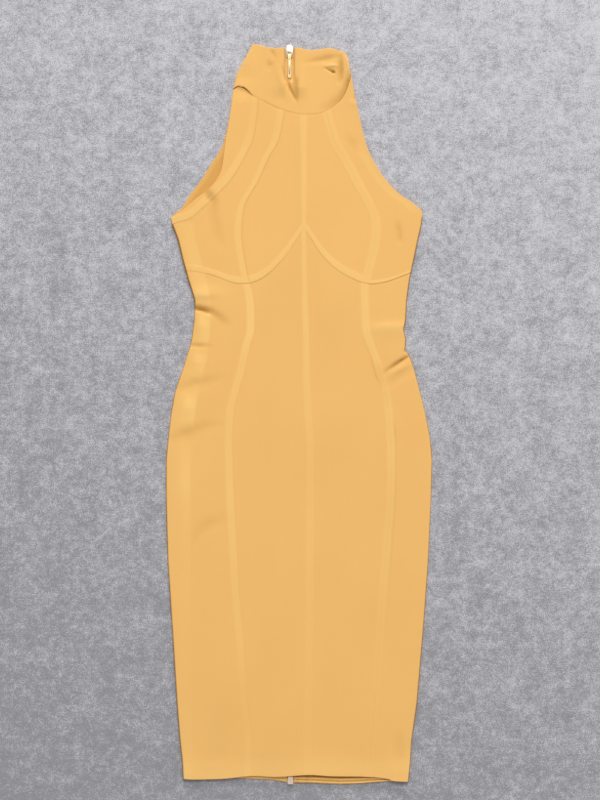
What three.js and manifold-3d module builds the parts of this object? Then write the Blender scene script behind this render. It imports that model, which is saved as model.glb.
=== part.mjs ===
// Sleeveless bodycon dress of heavy banded knit with a high collar, laid flat with its front up.
// Millimetres: x runs across the dress, y from the hem to the collar, z up from the surface.
// Tables give x across and up, the height above the lowest point of the hem.
import * as THREE from 'three';
import { mergeVertices } from 'three/addons/utils/BufferGeometryUtils.js';
import Module from 'manifold-3d';

// Cloth
const dressLength = 1083;
const wall = 1.8;
const seamGap = 0.3;
const layerGap = 0.3;
const stripWidth = 10;
const stripRise = 0.7;
const stripEdge = 2;
const rollRadius = 2.6;
const edgeLift = 0.5;
const collarGap = 0.4;

// Zip
const zipX = -14;
const chainHalf = 2.9;
const chainBase = 1.4;
const chainThick = 2;
const tapeBase = wall + layerGap;
const tapeThick = 1;
const tapeReach = 14;
const zipSlit = 6.4;
const zipStack = 1.6;
const zipFlat = 16;
const zipFade = 34;

// Slider and pull
const sliderTop = 1080.5;
const sliderFoot = 1063;
const plateThick = 1.1;
const plateGap = 2.6;
const lipWidth = 1.3;
const hingeUp = 1071;
const hingeZ = 6.4;
const lugHalf = 1;
const lugRadius = 2.3;
const lugBore = 1.3;
const pullThick = 1.2;
const pullHalf = 2.9;
const pullLength = 39;
const notchHalf = 6.4;
const notchFade = 3;
const notchFoot = 1061;

// Colours
const clothColour = 0xf0bc6e;
const tapeColour = 0xe0a95a;
const metalColour = 0xf2efe6;

// Rows of each panel: cells from its foot to its top
const bustRows = 13;
const sideRows = 5;
const skirtRows = { low: 12, high: 13, waist: 0.76 };

// Side edges from the underarm to the hem
const sideEdges = [
  { up: 829, left: -187, right: 180 },
  { up: 818, left: -185, right: 179 },
  { up: 796, left: -177, right: 174 },
  { up: 767, left: -170, right: 168 },
  { up: 738, left: -162, right: 162 },
  { up: 709, left: -153, right: 158 },
  { up: 681, left: -153, right: 156.5 },
  { up: 665, left: -155, right: 153.5 },
  { up: 650, left: -157, right: 156.5 },
  { up: 635, left: -161, right: 155.5 },
  { up: 626, left: -164, right: 162 },
  { up: 608, left: -169.5, right: 168 },
  { up: 574, left: -181, right: 177 },
  { up: 541, left: -187, right: 185 },
  { up: 507, left: -191, right: 191.5 },
  { up: 474, left: -194, right: 194.5 },
  { up: 416, left: -194, right: 193 },
  { up: 328, left: -191.5, right: 189 },
  { up: 241, left: -186, right: 183 },
  { up: 123, left: -178.5, right: 173 },
  { up: 65, left: -174, right: 165 },
  { up: 33, left: -170.5, right: 163 },
  { up: 5, left: -169, right: 160 },
];

// Armholes from the underarm to the collar. The left front lies back from the edge of the back
const armholeBackLeft = [
  { x: -187, up: 829 },
  { x: -181, up: 835 },
  { x: -170, up: 844 },
  { x: -161, up: 860 },
  { x: -145, up: 881 },
  { x: -128, up: 908 },
  { x: -116, up: 926 },
  { x: -109, up: 943 },
  { x: -101, up: 979 },
  { x: -96, up: 1016 },
];
const armholeFrontLeft = [
  { x: -187, up: 829 },
  { x: -176, up: 836 },
  { x: -164, up: 847 },
  { x: -153, up: 863 },
  { x: -140, up: 884 },
  { x: -127, up: 908 },
  { x: -116, up: 926 },
  { x: -109, up: 943 },
  { x: -101, up: 979 },
  { x: -96, up: 1016 },
];
const armholeRight = [
  { x: 180, up: 829 },
  { x: 179.5, up: 838 },
  { x: 165, up: 851 },
  { x: 148, up: 862 },
  { x: 131, up: 879 },
  { x: 118, up: 896 },
  { x: 104, up: 921 },
  { x: 96, up: 943 },
  { x: 89, up: 973 },
  { x: 82, up: 1006 },
  { x: 76, up: 1038 },
];

// Inner edge of the band along the left armhole, from the side up to the collar
const bandEdge = [
  { x: -185, up: 819 },
  { x: -176, up: 822 },
  { x: -158, up: 828 },
  { x: -142, up: 841 },
  { x: -116, up: 866 },
  { x: -100, up: 883 },
  { x: -85, up: 906 },
  { x: -68, up: 941 },
  { x: -62, up: 972 },
  { x: -59, up: 1003 },
];

// Collar: the seam to the bodice, its folded sides and its top edge
const neckSeam = [
  { x: -96, up: 1016 },
  { x: -85, up: 1020 },
  { x: -67, up: 1007 },
  { x: -56, up: 1001 },
  { x: -30, up: 988 },
  { x: -3, up: 980 },
  { x: 15, up: 979 },
  { x: 37, up: 983 },
  { x: 62, up: 1002 },
  { x: 73, up: 1025 },
  { x: 76, up: 1038 },
];
const backNeckSeam = [
  { x: -97, up: 1010 },
  { x: -14, up: 1000 },
  { x: 80, up: 1016 },
];
const collarLeft = [
  { x: -96, up: 1016 },
  { x: -91, up: 1038 },
  { x: -80, up: 1059 },
  { x: -67, up: 1082.7 },
];
const collarRight = [
  { x: 76, up: 1038 },
  { x: 73, up: 1054 },
  { x: 69, up: 1069 },
];
const collarTop = [
  { x: -67, up: 1082.7 },
  { x: -56, up: 1080 },
  { x: -40, up: 1076 },
  { x: -21, up: 1076 },
  { x: -3, up: 1076 },
  { x: 15, up: 1073 },
  { x: 30, up: 1074 },
  { x: 46, up: 1076 },
  { x: 65, up: 1070.5 },
  { x: 69, up: 1069 },
];

// Curved seams of the bust, from the arched seam to the collar
const bustSeamLeft = [
  { x: -72, up: 727 },
  { x: -77, up: 752 },
  { x: -81, up: 776 },
  { x: -84, up: 805 },
  { x: -81, up: 838 },
  { x: -74.5, up: 857 },
  { x: -60, up: 881 },
  { x: -44, up: 916 },
  { x: -30, up: 941 },
  { x: -21, up: 984 },
];
const bustSeamRight = [
  { x: 95, up: 727 },
  { x: 99, up: 748 },
  { x: 103, up: 767 },
  { x: 108, up: 793 },
  { x: 110, up: 821 },
  { x: 103, up: 843 },
  { x: 87, up: 873 },
  { x: 70, up: 902 },
  { x: 49, up: 941 },
  { x: 39, up: 984 },
];
const bustSeamCentre = [
  { x: 7, up: 809 },
  { x: 7, up: 900 },
  { x: 6, up: 980 },
];

// Arched seam under the bust, each half from the side or to it
const archLeft = [
  { x: -166, up: 742 },
  { x: -135, up: 742 },
  { x: -106, up: 732 },
  { x: -72, up: 727 },
  { x: -44, up: 743 },
  { x: -19, up: 772 },
  { x: 7, up: 809 },
];
const archRight = [
  { x: 7, up: 809 },
  { x: 30, up: 772 },
  { x: 61, up: 742 },
  { x: 95, up: 727 },
  { x: 110, up: 726 },
  { x: 137, up: 732 },
  { x: 161, up: 742 },
];

// Long seams of the skirt
const skirtSeams = [
  { up: 709, left: -67, centre: 9, right: 93 },
  { up: 675, left: -66, centre: 10, right: 94 },
  { up: 641, left: -73, centre: 11, right: 103 },
  { up: 605, left: -81, centre: 11.5, right: 112 },
  { up: 558, left: -95, centre: 13, right: 126 },
  { up: 507, left: -98, centre: 15, right: 131 },
  { up: 447, left: -97, centre: 16, right: 130 },
  { up: 358, left: -93, centre: 14.5, right: 128 },
  { up: 241, left: -88, centre: 13, right: 121 },
  { up: 123, left: -79, centre: 13, right: 112 },
  { up: 65, left: -70, centre: 13, right: 106 },
];

// Lower edges of the front and of the back, which shows below it
const hemFront = [
  { x: -169, up: 9 },
  { x: -150, up: 8 },
  { x: -110, up: 9 },
  { x: -70, up: 13 },
  { x: -32, up: 12 },
  { x: 13, up: 15 },
  { x: 47, up: 13 },
  { x: 99, up: 12 },
  { x: 129, up: 8 },
  { x: 137, up: 5 },
  { x: 160, up: 3 },
];
const hemBack = [
  { x: -168, up: 9 },
  { x: -110, up: 10 },
  { x: -80, up: 9 },
  { x: -41, up: 7 },
  { x: -14, up: 3 },
  { x: 16, up: 2 },
  { x: 61, up: 0 },
  { x: 92, up: 1 },
  { x: 135, up: 4 },
  { x: 159, up: 4 },
];

// How far the front stands off the back where nothing folds it
const puffs = [
  { up: 1083, rise: 2.4 },
  { up: 1000, rise: 2.2 },
  { up: 900, rise: 1.6 },
  { up: 780, rise: 1.9 },
  { up: 690, rise: 1.4 },
  { up: 480, rise: 1.7 },
  { up: 200, rise: 1.4 },
  { up: 0, rise: 1.5 },
];

// Folds: a soft trough or ridge along a line, half as wide as half says on each side
const folds = [
  { x0: -151, up0: 698, x1: -128, up1: 693, half: 6, rise: -1.7 },
  { x0: -128, up0: 693, x1: -102, up1: 672, half: 7, rise: -1 },
  { x0: -148, up0: 717, x1: -112, up1: 706, half: 11, rise: 1 },
  { x0: -150, up0: 678, x1: -132, up1: 652, half: 9, rise: 1 },
  { x0: -154, up0: 640, x1: -138, up1: 640, half: 6, rise: -0.8 },
  { x0: -155, up0: 628, x1: -140, up1: 606, half: 9, rise: 0.9 },
  { x0: -145, up0: 600, x1: -122, up1: 592, half: 7, rise: -0.7 },
  { x0: -167, up0: 580, x1: -150, up1: 580, half: 6, rise: -0.8 },
  { x0: -167, up0: 562, x1: -152, up1: 535, half: 9, rise: 0.8 },
  { x0: -170, up0: 519, x1: -112, up1: 510, half: 8, rise: -0.8 },
  { x0: -138, up0: 864, x1: -121, up1: 856, half: 6, rise: -1.3 },
  { x0: -127, up0: 850, x1: -110, up1: 783, half: 7, rise: -0.9 },
  { x0: 147, up0: 811, x1: 147, up1: 795, half: 6, rise: -0.8 },
  { x0: 106, up0: 672, x1: 148, up1: 670, half: 8, rise: 0.9 },
  { x0: 154, up0: 625, x1: 128, up1: 606, half: 6, rise: -1.5 },
  { x0: 156, up0: 604, x1: 137, up1: 588, half: 7, rise: -0.9 },
  { x0: -163, up0: 815, x1: -149, up1: 762, half: 6, rise: 0.6 },
  { x0: -149, up0: 762, x1: -145, up1: 712, half: 6, rise: 0.6 },
  { x0: -88, up0: 1025, x1: -70, up1: 1016, half: 6, rise: 1.2 },
  { x0: 17, up0: 1058, x1: 52, up1: 1064, half: 6, rise: -1.2 },
  { x0: 39, up0: 1050, x1: 54, up1: 1051, half: 5, rise: 1 },
  { x0: 41, up0: 1041, x1: 51, up1: 1040, half: 4, rise: -1.4 },
  { x0: 60, up0: 1062, x1: 61, up1: 1036, half: 5, rise: -1.6 },
  { x0: -42, up0: 1056, x1: -39, up1: 1068, half: 6, rise: -0.7 },
  { x0: -14, up0: 1066, x1: -13.5, up1: 1028, half: 6.5, rise: -5 },
  { x0: -18, up0: 1036, x1: -6, up1: 1008, half: 5, rise: -2 },
  { x0: -5, up0: 1032, x1: -1, up1: 1000, half: 5, rise: -1.8 },
];

const wasm = await Module();
wasm.setup();

const cloth = { color: clothColour, roughness: 0.85, metalness: 0 };
const tape = { color: tapeColour, roughness: 0.8, metalness: 0 };
const metal = { color: metalColour, roughness: 0.28, metalness: 1 };

const dress = new THREE.Group();
dress.position.y = -dressLength / 2;

function addPiece(name, geometry, finish) {
  const mesh = new THREE.Mesh(geometry, new THREE.MeshStandardMaterial(finish));
  mesh.name = name;
  dress.add(mesh);
}

// Curves over 0 to 1, even along their length
function through(rows) {
  const curve = new THREE.SplineCurve(rows.map((row) => new THREE.Vector2(row.x, row.up)));
  curve.arcLengthDivisions = 400;
  return (t) => curve.getPointAt(t);
}

function stretch(edge, from, to) {
  return (t) => edge(from + (to - from) * t);
}

function joined(lower, upper, share) {
  return (t) => (t <= share ? lower(t / share) : upper((t - share) / (1 - share)));
}

function straight(a, b) {
  return (t) => a.clone().lerp(b, t);
}

// The same curve moved aside to its left, but for its ends
function movedAside(edge, distance) {
  const nearby = 0.002;
  return (t) => {
    const before = edge(Math.max(0, t - nearby));
    const run = edge(Math.min(1, t + nearby)).sub(before).normalize();
    const share = Math.min(1, t / 0.06, (1 - t) / 0.06) * distance;
    return edge(t).add(new THREE.Vector2(-run.y, run.x).multiplyScalar(share));
  };
}

// Where a curve that runs with x passes a given x
function shareAt(edge, x) {
  let low = 0;
  let high = 1;
  for (let step = 0; step < 40; step += 1) {
    const middle = (low + high) / 2;
    if (edge(middle).x < x) {
      low = middle;
    } else {
      high = middle;
    }
  }
  return (low + high) / 2;
}

function column(rows, name) {
  return rows.map((row) => ({ x: row[name], up: row.up }));
}

function risingSide(name) {
  return through(column(sideEdges, name).reverse());
}

// A table read between its rows, which run downwards
function readTable(rows, up, name) {
  const below = rows.findIndex((row) => row.up <= up);
  if (below === 0) {
    return rows[0][name];
  }
  if (below < 0) {
    return rows.at(-1)[name];
  }
  const a = rows[below - 1];
  const b = rows[below];
  return THREE.MathUtils.mapLinear(up, a.up, b.up, a[name], b[name]);
}

// The outline of the whole dress at a height
function outlineRows(side, armhole, collar) {
  const rows = [...column(sideEdges, side).reverse(), ...armhole.slice(1), ...collar.slice(1)];
  return rows.reverse();
}
const outlineLeft = outlineRows('left', armholeBackLeft, collarLeft);
const outlineRight = outlineRows('right', armholeRight, collarRight);

function plateau(distance, flat, fade) {
  return 1 - THREE.MathUtils.smoothstep(distance, flat, flat + fade);
}

function foldRise(fold, x, up) {
  const runX = fold.x1 - fold.x0;
  const runUp = fold.up1 - fold.up0;
  const along = ((x - fold.x0) * runX + (up - fold.up0) * runUp) / (runX ** 2 + runUp ** 2);
  const t = THREE.MathUtils.clamp(along, 0, 1);
  const distance = Math.hypot(x - fold.x0 - runX * t, up - fold.up0 - runUp * t);
  return fold.rise * Math.exp(-((distance / fold.half) ** 2));
}

// Height of the front's outer face above the surface
function frontHeight(x, up) {
  const left = readTable(outlineLeft, up, 'x');
  const right = readTable(outlineRight, up, 'x');
  const across = Math.min(1, Math.abs((2 * (x - left)) / (right - left) - 1));
  const puff = readTable(puffs, up, 'rise') * (1 - 0.5 * across ** 4);
  const rise = folds.reduce((sum, fold) => sum + foldRise(fold, x, up), puff);
  const least = edgeLift * across ** 4;
  const under = tapeBase + zipStack * plateau(Math.abs(x - zipX), zipFlat, zipFade);
  return under + wall + Math.max(rise, least);
}

// Shares of a length at stops from its start and from its end, with even steps between
function stopShares(length, near, far, steps) {
  const shrink = Math.min(1, (0.8 * length) / (near.at(-1) + far.at(-1) + 1));
  const start = near.at(-1) * shrink;
  const end = length - far.at(-1) * shrink;
  const middle = [];
  for (let step = 1; step < steps; step += 1) {
    middle.push(start + ((end - start) * step) / steps);
  }
  const first = near.map((stop) => stop * shrink);
  const last = far.map((stop) => length - stop * shrink).reverse();
  return [...first, ...middle, ...last].map((stop) => stop / length);
}

const plainStops = [0];
const stripStops = [0, stripWidth - stripEdge / 2, stripWidth + stripEdge / 2];
const halfStripStops = [0, stripWidth / 2 - stripEdge / 2, stripWidth / 2 + stripEdge / 2];
const rollStops = [0, rollRadius * (1 - Math.SQRT1_2), rollRadius];

const evenShares = (count) => Array.from({ length: count + 1 }, (_, k) => k / count);

function skirtShares() {
  const { low, high, waist } = skirtRows;
  const lower = evenShares(low).map((share) => share * waist);
  const upper = evenShares(high).map((share) => waist + share * (1 - waist));
  return [...lower, ...upper.slice(1)];
}

const bustShares = (height) => stopShares(height, stripStops, plainStops, bustRows - 2);

// A point inside four edges
function netPoint(edges, u, v) {
  const rows = edges.bottom(u).multiplyScalar(1 - v).add(edges.top(u).multiplyScalar(v));
  const sides = edges.left(v).multiplyScalar(1 - u).add(edges.right(v).multiplyScalar(u));
  const foot = edges.bottom(0).multiplyScalar(1 - u).add(edges.bottom(1).multiplyScalar(u));
  const head = edges.top(0).multiplyScalar(1 - u).add(edges.top(1).multiplyScalar(u));
  const corners = foot.multiplyScalar(1 - v).add(head.multiplyScalar(v));
  return rows.add(sides).sub(corners);
}

// Rows of points over a panel, from its foot to its top, each from left to right
function netOf(panel) {
  const { edges, columns, rows } = panel;
  const midRows = rows(edges.bottom(0.5).distanceTo(edges.top(0.5)));
  const midColumns = columns(edges.left(0.5).distanceTo(edges.right(0.5)));
  const columnRows = midColumns.map((u) => rows(edges.bottom(u).distanceTo(edges.top(u))));
  return midRows.map((middle, k) => {
    const shares = columns(edges.left(middle).distanceTo(edges.right(middle)));
    return shares.map((u, i) => netPoint(edges, u, columnRows[i][k]));
  });
}

function pullIn(net) {
  const towards = (point, next) => {
    const step = next.clone().sub(point).setLength(seamGap / 2);
    return point.clone().add(step);
  };
  const shifted = net.map((row) => [
    towards(row[0], row[1]),
    ...row.slice(1, -1),
    towards(row.at(-1), row.at(-2)),
  ]);
  const foot = shifted[0].map((point, i) => towards(point, shifted[1][i]));
  const head = shifted.at(-1).map((point, i) => towards(point, shifted.at(-2)[i]));
  return [foot, ...shifted.slice(1, -1), head];
}

// Seam strips lie raised along an edge, two stops wide
function stripLift(panel, i, k, lastColumn) {
  const { strips = {} } = panel;
  const onStrip = (strips.left && i < 2) || (strips.right && i > lastColumn - 2)
    || (strips.foot && k < 2);
  return onStrip ? stripRise : 0;
}

// Outer and inner point of the wall. A rolled edge turns down to the back's upper face
function wallPoint(panel, row, i, k) {
  const last = row.length - 1;
  const point = row[i];
  const top = panel.height(point.x, point.y) + stripLift(panel, i, k, last);
  const rollsLeft = panel.rollLeft?.(k) && i < 2;
  const rollsRight = panel.rollRight?.(k) && i > last - 2;
  const outer = new THREE.Vector3(point.x, point.y, top);
  if (!rollsLeft && !rollsRight) {
    return { outer, inner: new THREE.Vector3(point.x, point.y, top - wall) };
  }
  const edgeIndex = rollsLeft ? i : last - i;
  const inward = row[rollsLeft ? 2 : last - 2].clone().sub(row[rollsLeft ? 0 : last]).normalize();
  const turn = edgeIndex === 0 ? 0 : Math.SQRT1_2;
  outer.z = tapeBase + (top - tapeBase) * turn;
  const reach = wall * Math.sqrt(1 - turn ** 2);
  const inner = new THREE.Vector3(
    point.x + inward.x * reach,
    point.y + inward.y * reach,
    outer.z - wall * turn,
  );
  return { outer, inner };
}

function closedWall(outer, inner) {
  const rows = outer.length;
  const columns = outer[0].length;
  const positions = [...outer.flat(), ...inner.flat()].flatMap((point) => point.toArray());
  const faces = [];
  const at = (layer, k, i) => layer * rows * columns + k * columns + i;
  const quad = (a, b, c, d) => faces.push(a, b, c, a, c, d);
  for (let k = 0; k < rows - 1; k += 1) {
    for (let i = 0; i < columns - 1; i += 1) {
      quad(at(0, k, i), at(0, k, i + 1), at(0, k + 1, i + 1), at(0, k + 1, i));
      quad(at(1, k, i), at(1, k + 1, i), at(1, k + 1, i + 1), at(1, k, i + 1));
    }
    const right = columns - 1;
    quad(at(0, k, 0), at(0, k + 1, 0), at(1, k + 1, 0), at(1, k, 0));
    quad(at(1, k, right), at(1, k + 1, right), at(0, k + 1, right), at(0, k, right));
  }
  for (let i = 0; i < columns - 1; i += 1) {
    const top = rows - 1;
    quad(at(1, 0, i), at(1, 0, i + 1), at(0, 0, i + 1), at(0, 0, i));
    quad(at(0, top, i), at(0, top, i + 1), at(1, top, i + 1), at(1, top, i));
  }
  const geometry = new THREE.BufferGeometry();
  geometry.setAttribute('position', new THREE.Float32BufferAttribute(positions, 3));
  geometry.setIndex(faces);
  return geometry;
}

function panelGeometry(panel) {
  const net = pullIn(netOf(panel));
  const points = net.map((row, k) => row.map((_, i) => wallPoint(panel, row, i, k)));
  return closedWall(
    points.map((row) => row.map((point) => point.outer)),
    points.map((row) => row.map((point) => point.inner)),
  );
}

// Curves of the front and the shares at which its seams meet them
const sideLeft = risingSide('left');
const sideRight = risingSide('right');
const neck = through(neckSeam);
const neckShare = {
  band: shareAt(neck, bandEdge.at(-1).x),
  left: shareAt(neck, bustSeamLeft.at(-1).x),
  centre: shareAt(neck, bustSeamCentre.at(-1).x),
  right: shareAt(neck, bustSeamRight.at(-1).x),
};
const archLeftEdge = through(archLeft);
const archRightEdge = through(archRight);
const archShare = {
  left: shareAt(archLeftEdge, bustSeamLeft[0].x),
  right: shareAt(archRightEdge, bustSeamRight[0].x),
};
const front = through(hemFront);

function seamTo(rows, end) {
  return through([...rows.slice(0, -1), { x: end.x, up: end.y }]);
}
const seamLeft = seamTo(bustSeamLeft, neck(neckShare.left));
const seamCentre = seamTo(bustSeamCentre, neck(neckShare.centre));
const seamRight = seamTo(bustSeamRight, neck(neckShare.right));
const band = seamTo(bandEdge, neck(neckShare.band));

// Height above the hem at which a side edge meets a seam, as a share of the edge
function shareAtUp(edge, up) {
  return shareAt((t) => new THREE.Vector2(edge(t).y, 0), up);
}

function sideStretch(edge, fromUp, toUp) {
  return stretch(edge, shareAtUp(edge, fromUp), shareAtUp(edge, toUp));
}

function endsAt(edge, start, end) {
  return (t) => {
    if (t === 0) {
      return start.clone();
    }
    return t === 1 ? end.clone() : edge(t);
  };
}

const archFootLeft = archLeftEdge(0);
const archFootRight = archRightEdge(1);
const underarmLeft = band(0);
const underarmRight = through(armholeRight)(0);

// The side panels' outer edges bend at the underarm, which falls on one of their rows
function bentEdge(lower, upper, start, end) {
  const height = start.distanceTo(end);
  return joined(lower, upper, bustShares(height)[sideRows]);
}

const bustLeftEdge = bentEdge(
  endsAt(sideStretch(sideLeft, archFootLeft.y, underarmLeft.y), archFootLeft, underarmLeft),
  band,
  archFootLeft,
  band(1),
);
const bustRightEdge = bentEdge(
  endsAt(sideStretch(sideRight, archFootRight.y, underarmRight.y), archFootRight, underarmRight),
  through(armholeRight),
  archFootRight,
  neck(1),
);

const sideColumns = {
  left: (width) => stopShares(width, rollStops, stripStops, 6),
  right: (width) => stopShares(width, stripStops, rollStops, 6),
};
const centreColumns = {
  left: (width) => stopShares(width, plainStops, halfStripStops, 7),
  right: (width) => stopShares(width, halfStripStops, plainStops, 7),
};
const belowUnderarm = (k) => k <= sideRows;
const always = () => true;

function addPanel(name, panel, finish = cloth) {
  addPiece(name, panelGeometry({ height: frontHeight, ...panel }), finish);
}

function addBust() {
  addPanel('bust_centre_left', {
    edges: {
      left: seamLeft,
      right: seamCentre,
      bottom: stretch(archLeftEdge, archShare.left, 1),
      top: stretch(neck, neckShare.left, neckShare.centre),
    },
    columns: centreColumns.left,
    rows: bustShares,
    strips: { right: true, foot: true },
  });
  addPanel('bust_centre_right', {
    edges: {
      left: seamCentre,
      right: seamRight,
      bottom: stretch(archRightEdge, 0, archShare.right),
      top: stretch(neck, neckShare.centre, neckShare.right),
    },
    columns: centreColumns.right,
    rows: bustShares,
    strips: { left: true, foot: true },
  });
  addPanel('bust_side_left', {
    edges: {
      left: bustLeftEdge,
      right: seamLeft,
      bottom: stretch(archLeftEdge, 0, archShare.left),
      top: stretch(neck, neckShare.band, neckShare.left),
    },
    columns: sideColumns.left,
    rows: bustShares,
    strips: { right: true, foot: true },
    rollLeft: belowUnderarm,
  });
  addPanel('bust_side_right', {
    edges: {
      left: seamRight,
      right: bustRightEdge,
      bottom: stretch(archRightEdge, archShare.right, 1),
      top: stretch(neck, neckShare.right, 1),
    },
    columns: sideColumns.right,
    rows: bustShares,
    strips: { left: true, foot: true },
    rollRight: belowUnderarm,
  });
}

// The band's rows follow those of the panel beside it
function addArmholeBand() {
  const armhole = through(armholeFrontLeft);
  const height = archFootLeft.distanceTo(band(1));
  const rows = bustShares(height).slice(sideRows);
  const low = rows[0];
  addPanel('armhole_band_left', {
    edges: {
      left: armhole,
      right: band,
      bottom: straight(armhole(0), band(0)),
      top: endsAt(stretch(neck, 0, neckShare.band), armhole(1), band(1)),
    },
    columns: (width) => stopShares(width, plainStops, stripStops, 3),
    rows: () => rows.map((share) => (share - low) / (1 - low)),
    strips: { right: true },
  });
}

function skirtSeam(name, start, end) {
  const foot = { x: end.x, up: end.y };
  const head = { x: start.x, up: start.y };
  return through([head, ...column(skirtSeams, name), foot].reverse());
}

function addSkirt() {
  const shares = {
    left: shareAt(front, skirtSeams.at(-1).left),
    centre: shareAt(front, skirtSeams.at(-1).centre),
    right: shareAt(front, skirtSeams.at(-1).right - 5),
  };
  const left = skirtSeam('left', archLeftEdge(archShare.left), front(shares.left));
  const centre = skirtSeam('centre', archLeftEdge(1), front(shares.centre));
  const right = skirtSeam('right', archRightEdge(archShare.right), front(shares.right));
  addPanel('skirt_side_left', {
    edges: {
      left: endsAt(sideStretch(sideLeft, front(0).y, archFootLeft.y), front(0), archFootLeft),
      right: left,
      bottom: stretch(front, 0, shares.left),
      top: stretch(archLeftEdge, 0, archShare.left),
    },
    columns: sideColumns.left,
    rows: skirtShares,
    strips: { right: true },
    rollLeft: always,
  });
  addPanel('skirt_centre_left', {
    edges: {
      left,
      right: centre,
      bottom: stretch(front, shares.left, shares.centre),
      top: stretch(archLeftEdge, archShare.left, 1),
    },
    columns: centreColumns.left,
    rows: skirtShares,
    strips: { right: true },
  });
  addPanel('skirt_centre_right', {
    edges: {
      left: centre,
      right,
      bottom: stretch(front, shares.centre, shares.right),
      top: stretch(archRightEdge, 0, archShare.right),
    },
    columns: centreColumns.right,
    rows: skirtShares,
    strips: { left: true },
  });
  addPanel('skirt_side_right', {
    edges: {
      left: right,
      right: endsAt(sideStretch(sideRight, front(1).y, archFootRight.y), front(1), archFootRight),
      bottom: stretch(front, shares.right, 1),
      top: stretch(archRightEdge, archShare.right, 1),
    },
    columns: sideColumns.right,
    rows: skirtShares,
    strips: { left: true },
    rollRight: always,
  });
}

// The collar's top edge dips in front of the zip's slider
function addCollar() {
  const top = through(collarTop);
  const dipped = (t) => {
    const point = top(t);
    const dip = plateau(Math.abs(point.x - zipX), notchHalf, notchFade);
    point.y -= (point.y - notchFoot) * dip;
    return point;
  };
  addPanel('collar_front', {
    edges: {
      left: through(collarLeft),
      right: through(collarRight),
      bottom: movedAside(neck, collarGap),
      top: dipped,
    },
    columns: (width) => stopShares(width, rollStops, rollStops, 34),
    rows: () => evenShares(13),
    rollLeft: always,
    rollRight: always,
  });
}

// The back lies flat on the surface, in two halves that leave the zip's teeth free
function addBack() {
  const flat = () => wall;
  const hem = through(hemBack);
  const seam = through(backNeckSeam);
  const armLeft = through(armholeBackLeft);
  const armRight = through(armholeRight);
  const slitLeft = zipX - zipSlit;
  const slitRight = zipX + zipSlit;
  const underarm = 0.74;
  const upShares = evenShares(34);
  const shareOfUnderarm = upShares.find((share) => share >= underarm);
  const armTop = (edge, up) => stretch(edge, 0, shareAtUp(edge, up));
  const outerLeft = joined(
    sideStretch(sideLeft, hem(0).y, armLeft(0).y),
    armTop(armLeft, seam(0).y),
    shareOfUnderarm,
  );
  const outerRight = joined(
    sideStretch(sideRight, hem(1).y, armRight(0).y),
    armTop(armRight, seam(1).y),
    shareOfUnderarm,
  );
  const hemShare = (x) => shareAt(hem, x);
  const seamShare = (x) => shareAt(seam, x);
  const common = { columns: () => evenShares(4), rows: () => upShares, height: flat };
  addPanel('back_left', {
    ...common,
    edges: {
      left: endsAt(outerLeft, hem(0), seam(0)),
      right: straight(hem(hemShare(slitLeft)), seam(seamShare(slitLeft))),
      bottom: stretch(hem, 0, hemShare(slitLeft)),
      top: stretch(seam, 0, seamShare(slitLeft)),
    },
  });
  addPanel('back_right', {
    ...common,
    edges: {
      left: straight(hem(hemShare(slitRight)), seam(seamShare(slitRight))),
      right: endsAt(outerRight, hem(1), seam(1)),
      bottom: stretch(hem, hemShare(slitRight), 1),
      top: stretch(seam, seamShare(slitRight), 1),
    },
  });
  addBackCollar(flat, seam, slitLeft, slitRight);
}

function addBackCollar(flat, seam, slitLeft, slitRight) {
  const top = through(collarTop);
  const foot = { left: shareAt(seam, slitLeft), right: shareAt(seam, slitRight) };
  const head = { left: shareAt(top, slitLeft), right: shareAt(top, slitRight) };
  const common = { columns: () => evenShares(6), rows: () => evenShares(6), height: flat };
  const sideFrom = (start, rows) => through([{ x: start.x, up: start.y }, ...rows]);
  addPanel('collar_back_left', {
    ...common,
    edges: {
      left: sideFrom(seam(0), collarLeft.slice(1)),
      right: straight(seam(foot.left), top(head.left)),
      bottom: stretch(seam, 0, foot.left),
      top: stretch(top, 0, head.left),
    },
  });
  addPanel('collar_back_right', {
    ...common,
    edges: {
      left: straight(seam(foot.right), top(head.right)),
      right: sideFrom(seam(1), collarRight),
      bottom: stretch(seam, foot.right, 1),
      top: stretch(top, head.right, 1),
    },
  });
}

// Solid cut and joined shapes of the zip
function solidOf(geometry) {
  const bare = geometry.clone();
  bare.deleteAttribute('normal');
  bare.deleteAttribute('uv');
  const merged = mergeVertices(bare);
  const vertProperties = new Float32Array(merged.attributes.position.array);
  const triVerts = new Uint32Array(merged.index.array);
  return new wasm.Manifold(new wasm.Mesh({ numProp: 3, vertProperties, triVerts }));
}

function geometryOf(solid) {
  const mesh = solid.getMesh();
  const geometry = new THREE.BufferGeometry();
  geometry.setAttribute('position', new THREE.BufferAttribute(mesh.vertProperties, 3));
  geometry.setIndex(new THREE.BufferAttribute(mesh.triVerts, 1));
  return geometry;
}

function box(x0, x1, up0, up1, z0, z1) {
  const geometry = new THREE.BoxGeometry(x1 - x0, up1 - up0, z1 - z0);
  geometry.translate((x0 + x1) / 2, (up0 + up1) / 2, (z0 + z1) / 2);
  return geometry;
}

function plate(points, z0, thick) {
  const shape = new THREE.Shape(points);
  const geometry = new THREE.ExtrudeGeometry(shape, { depth: thick, bevelEnabled: false });
  geometry.translate(0, 0, z0);
  return geometry;
}

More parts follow.
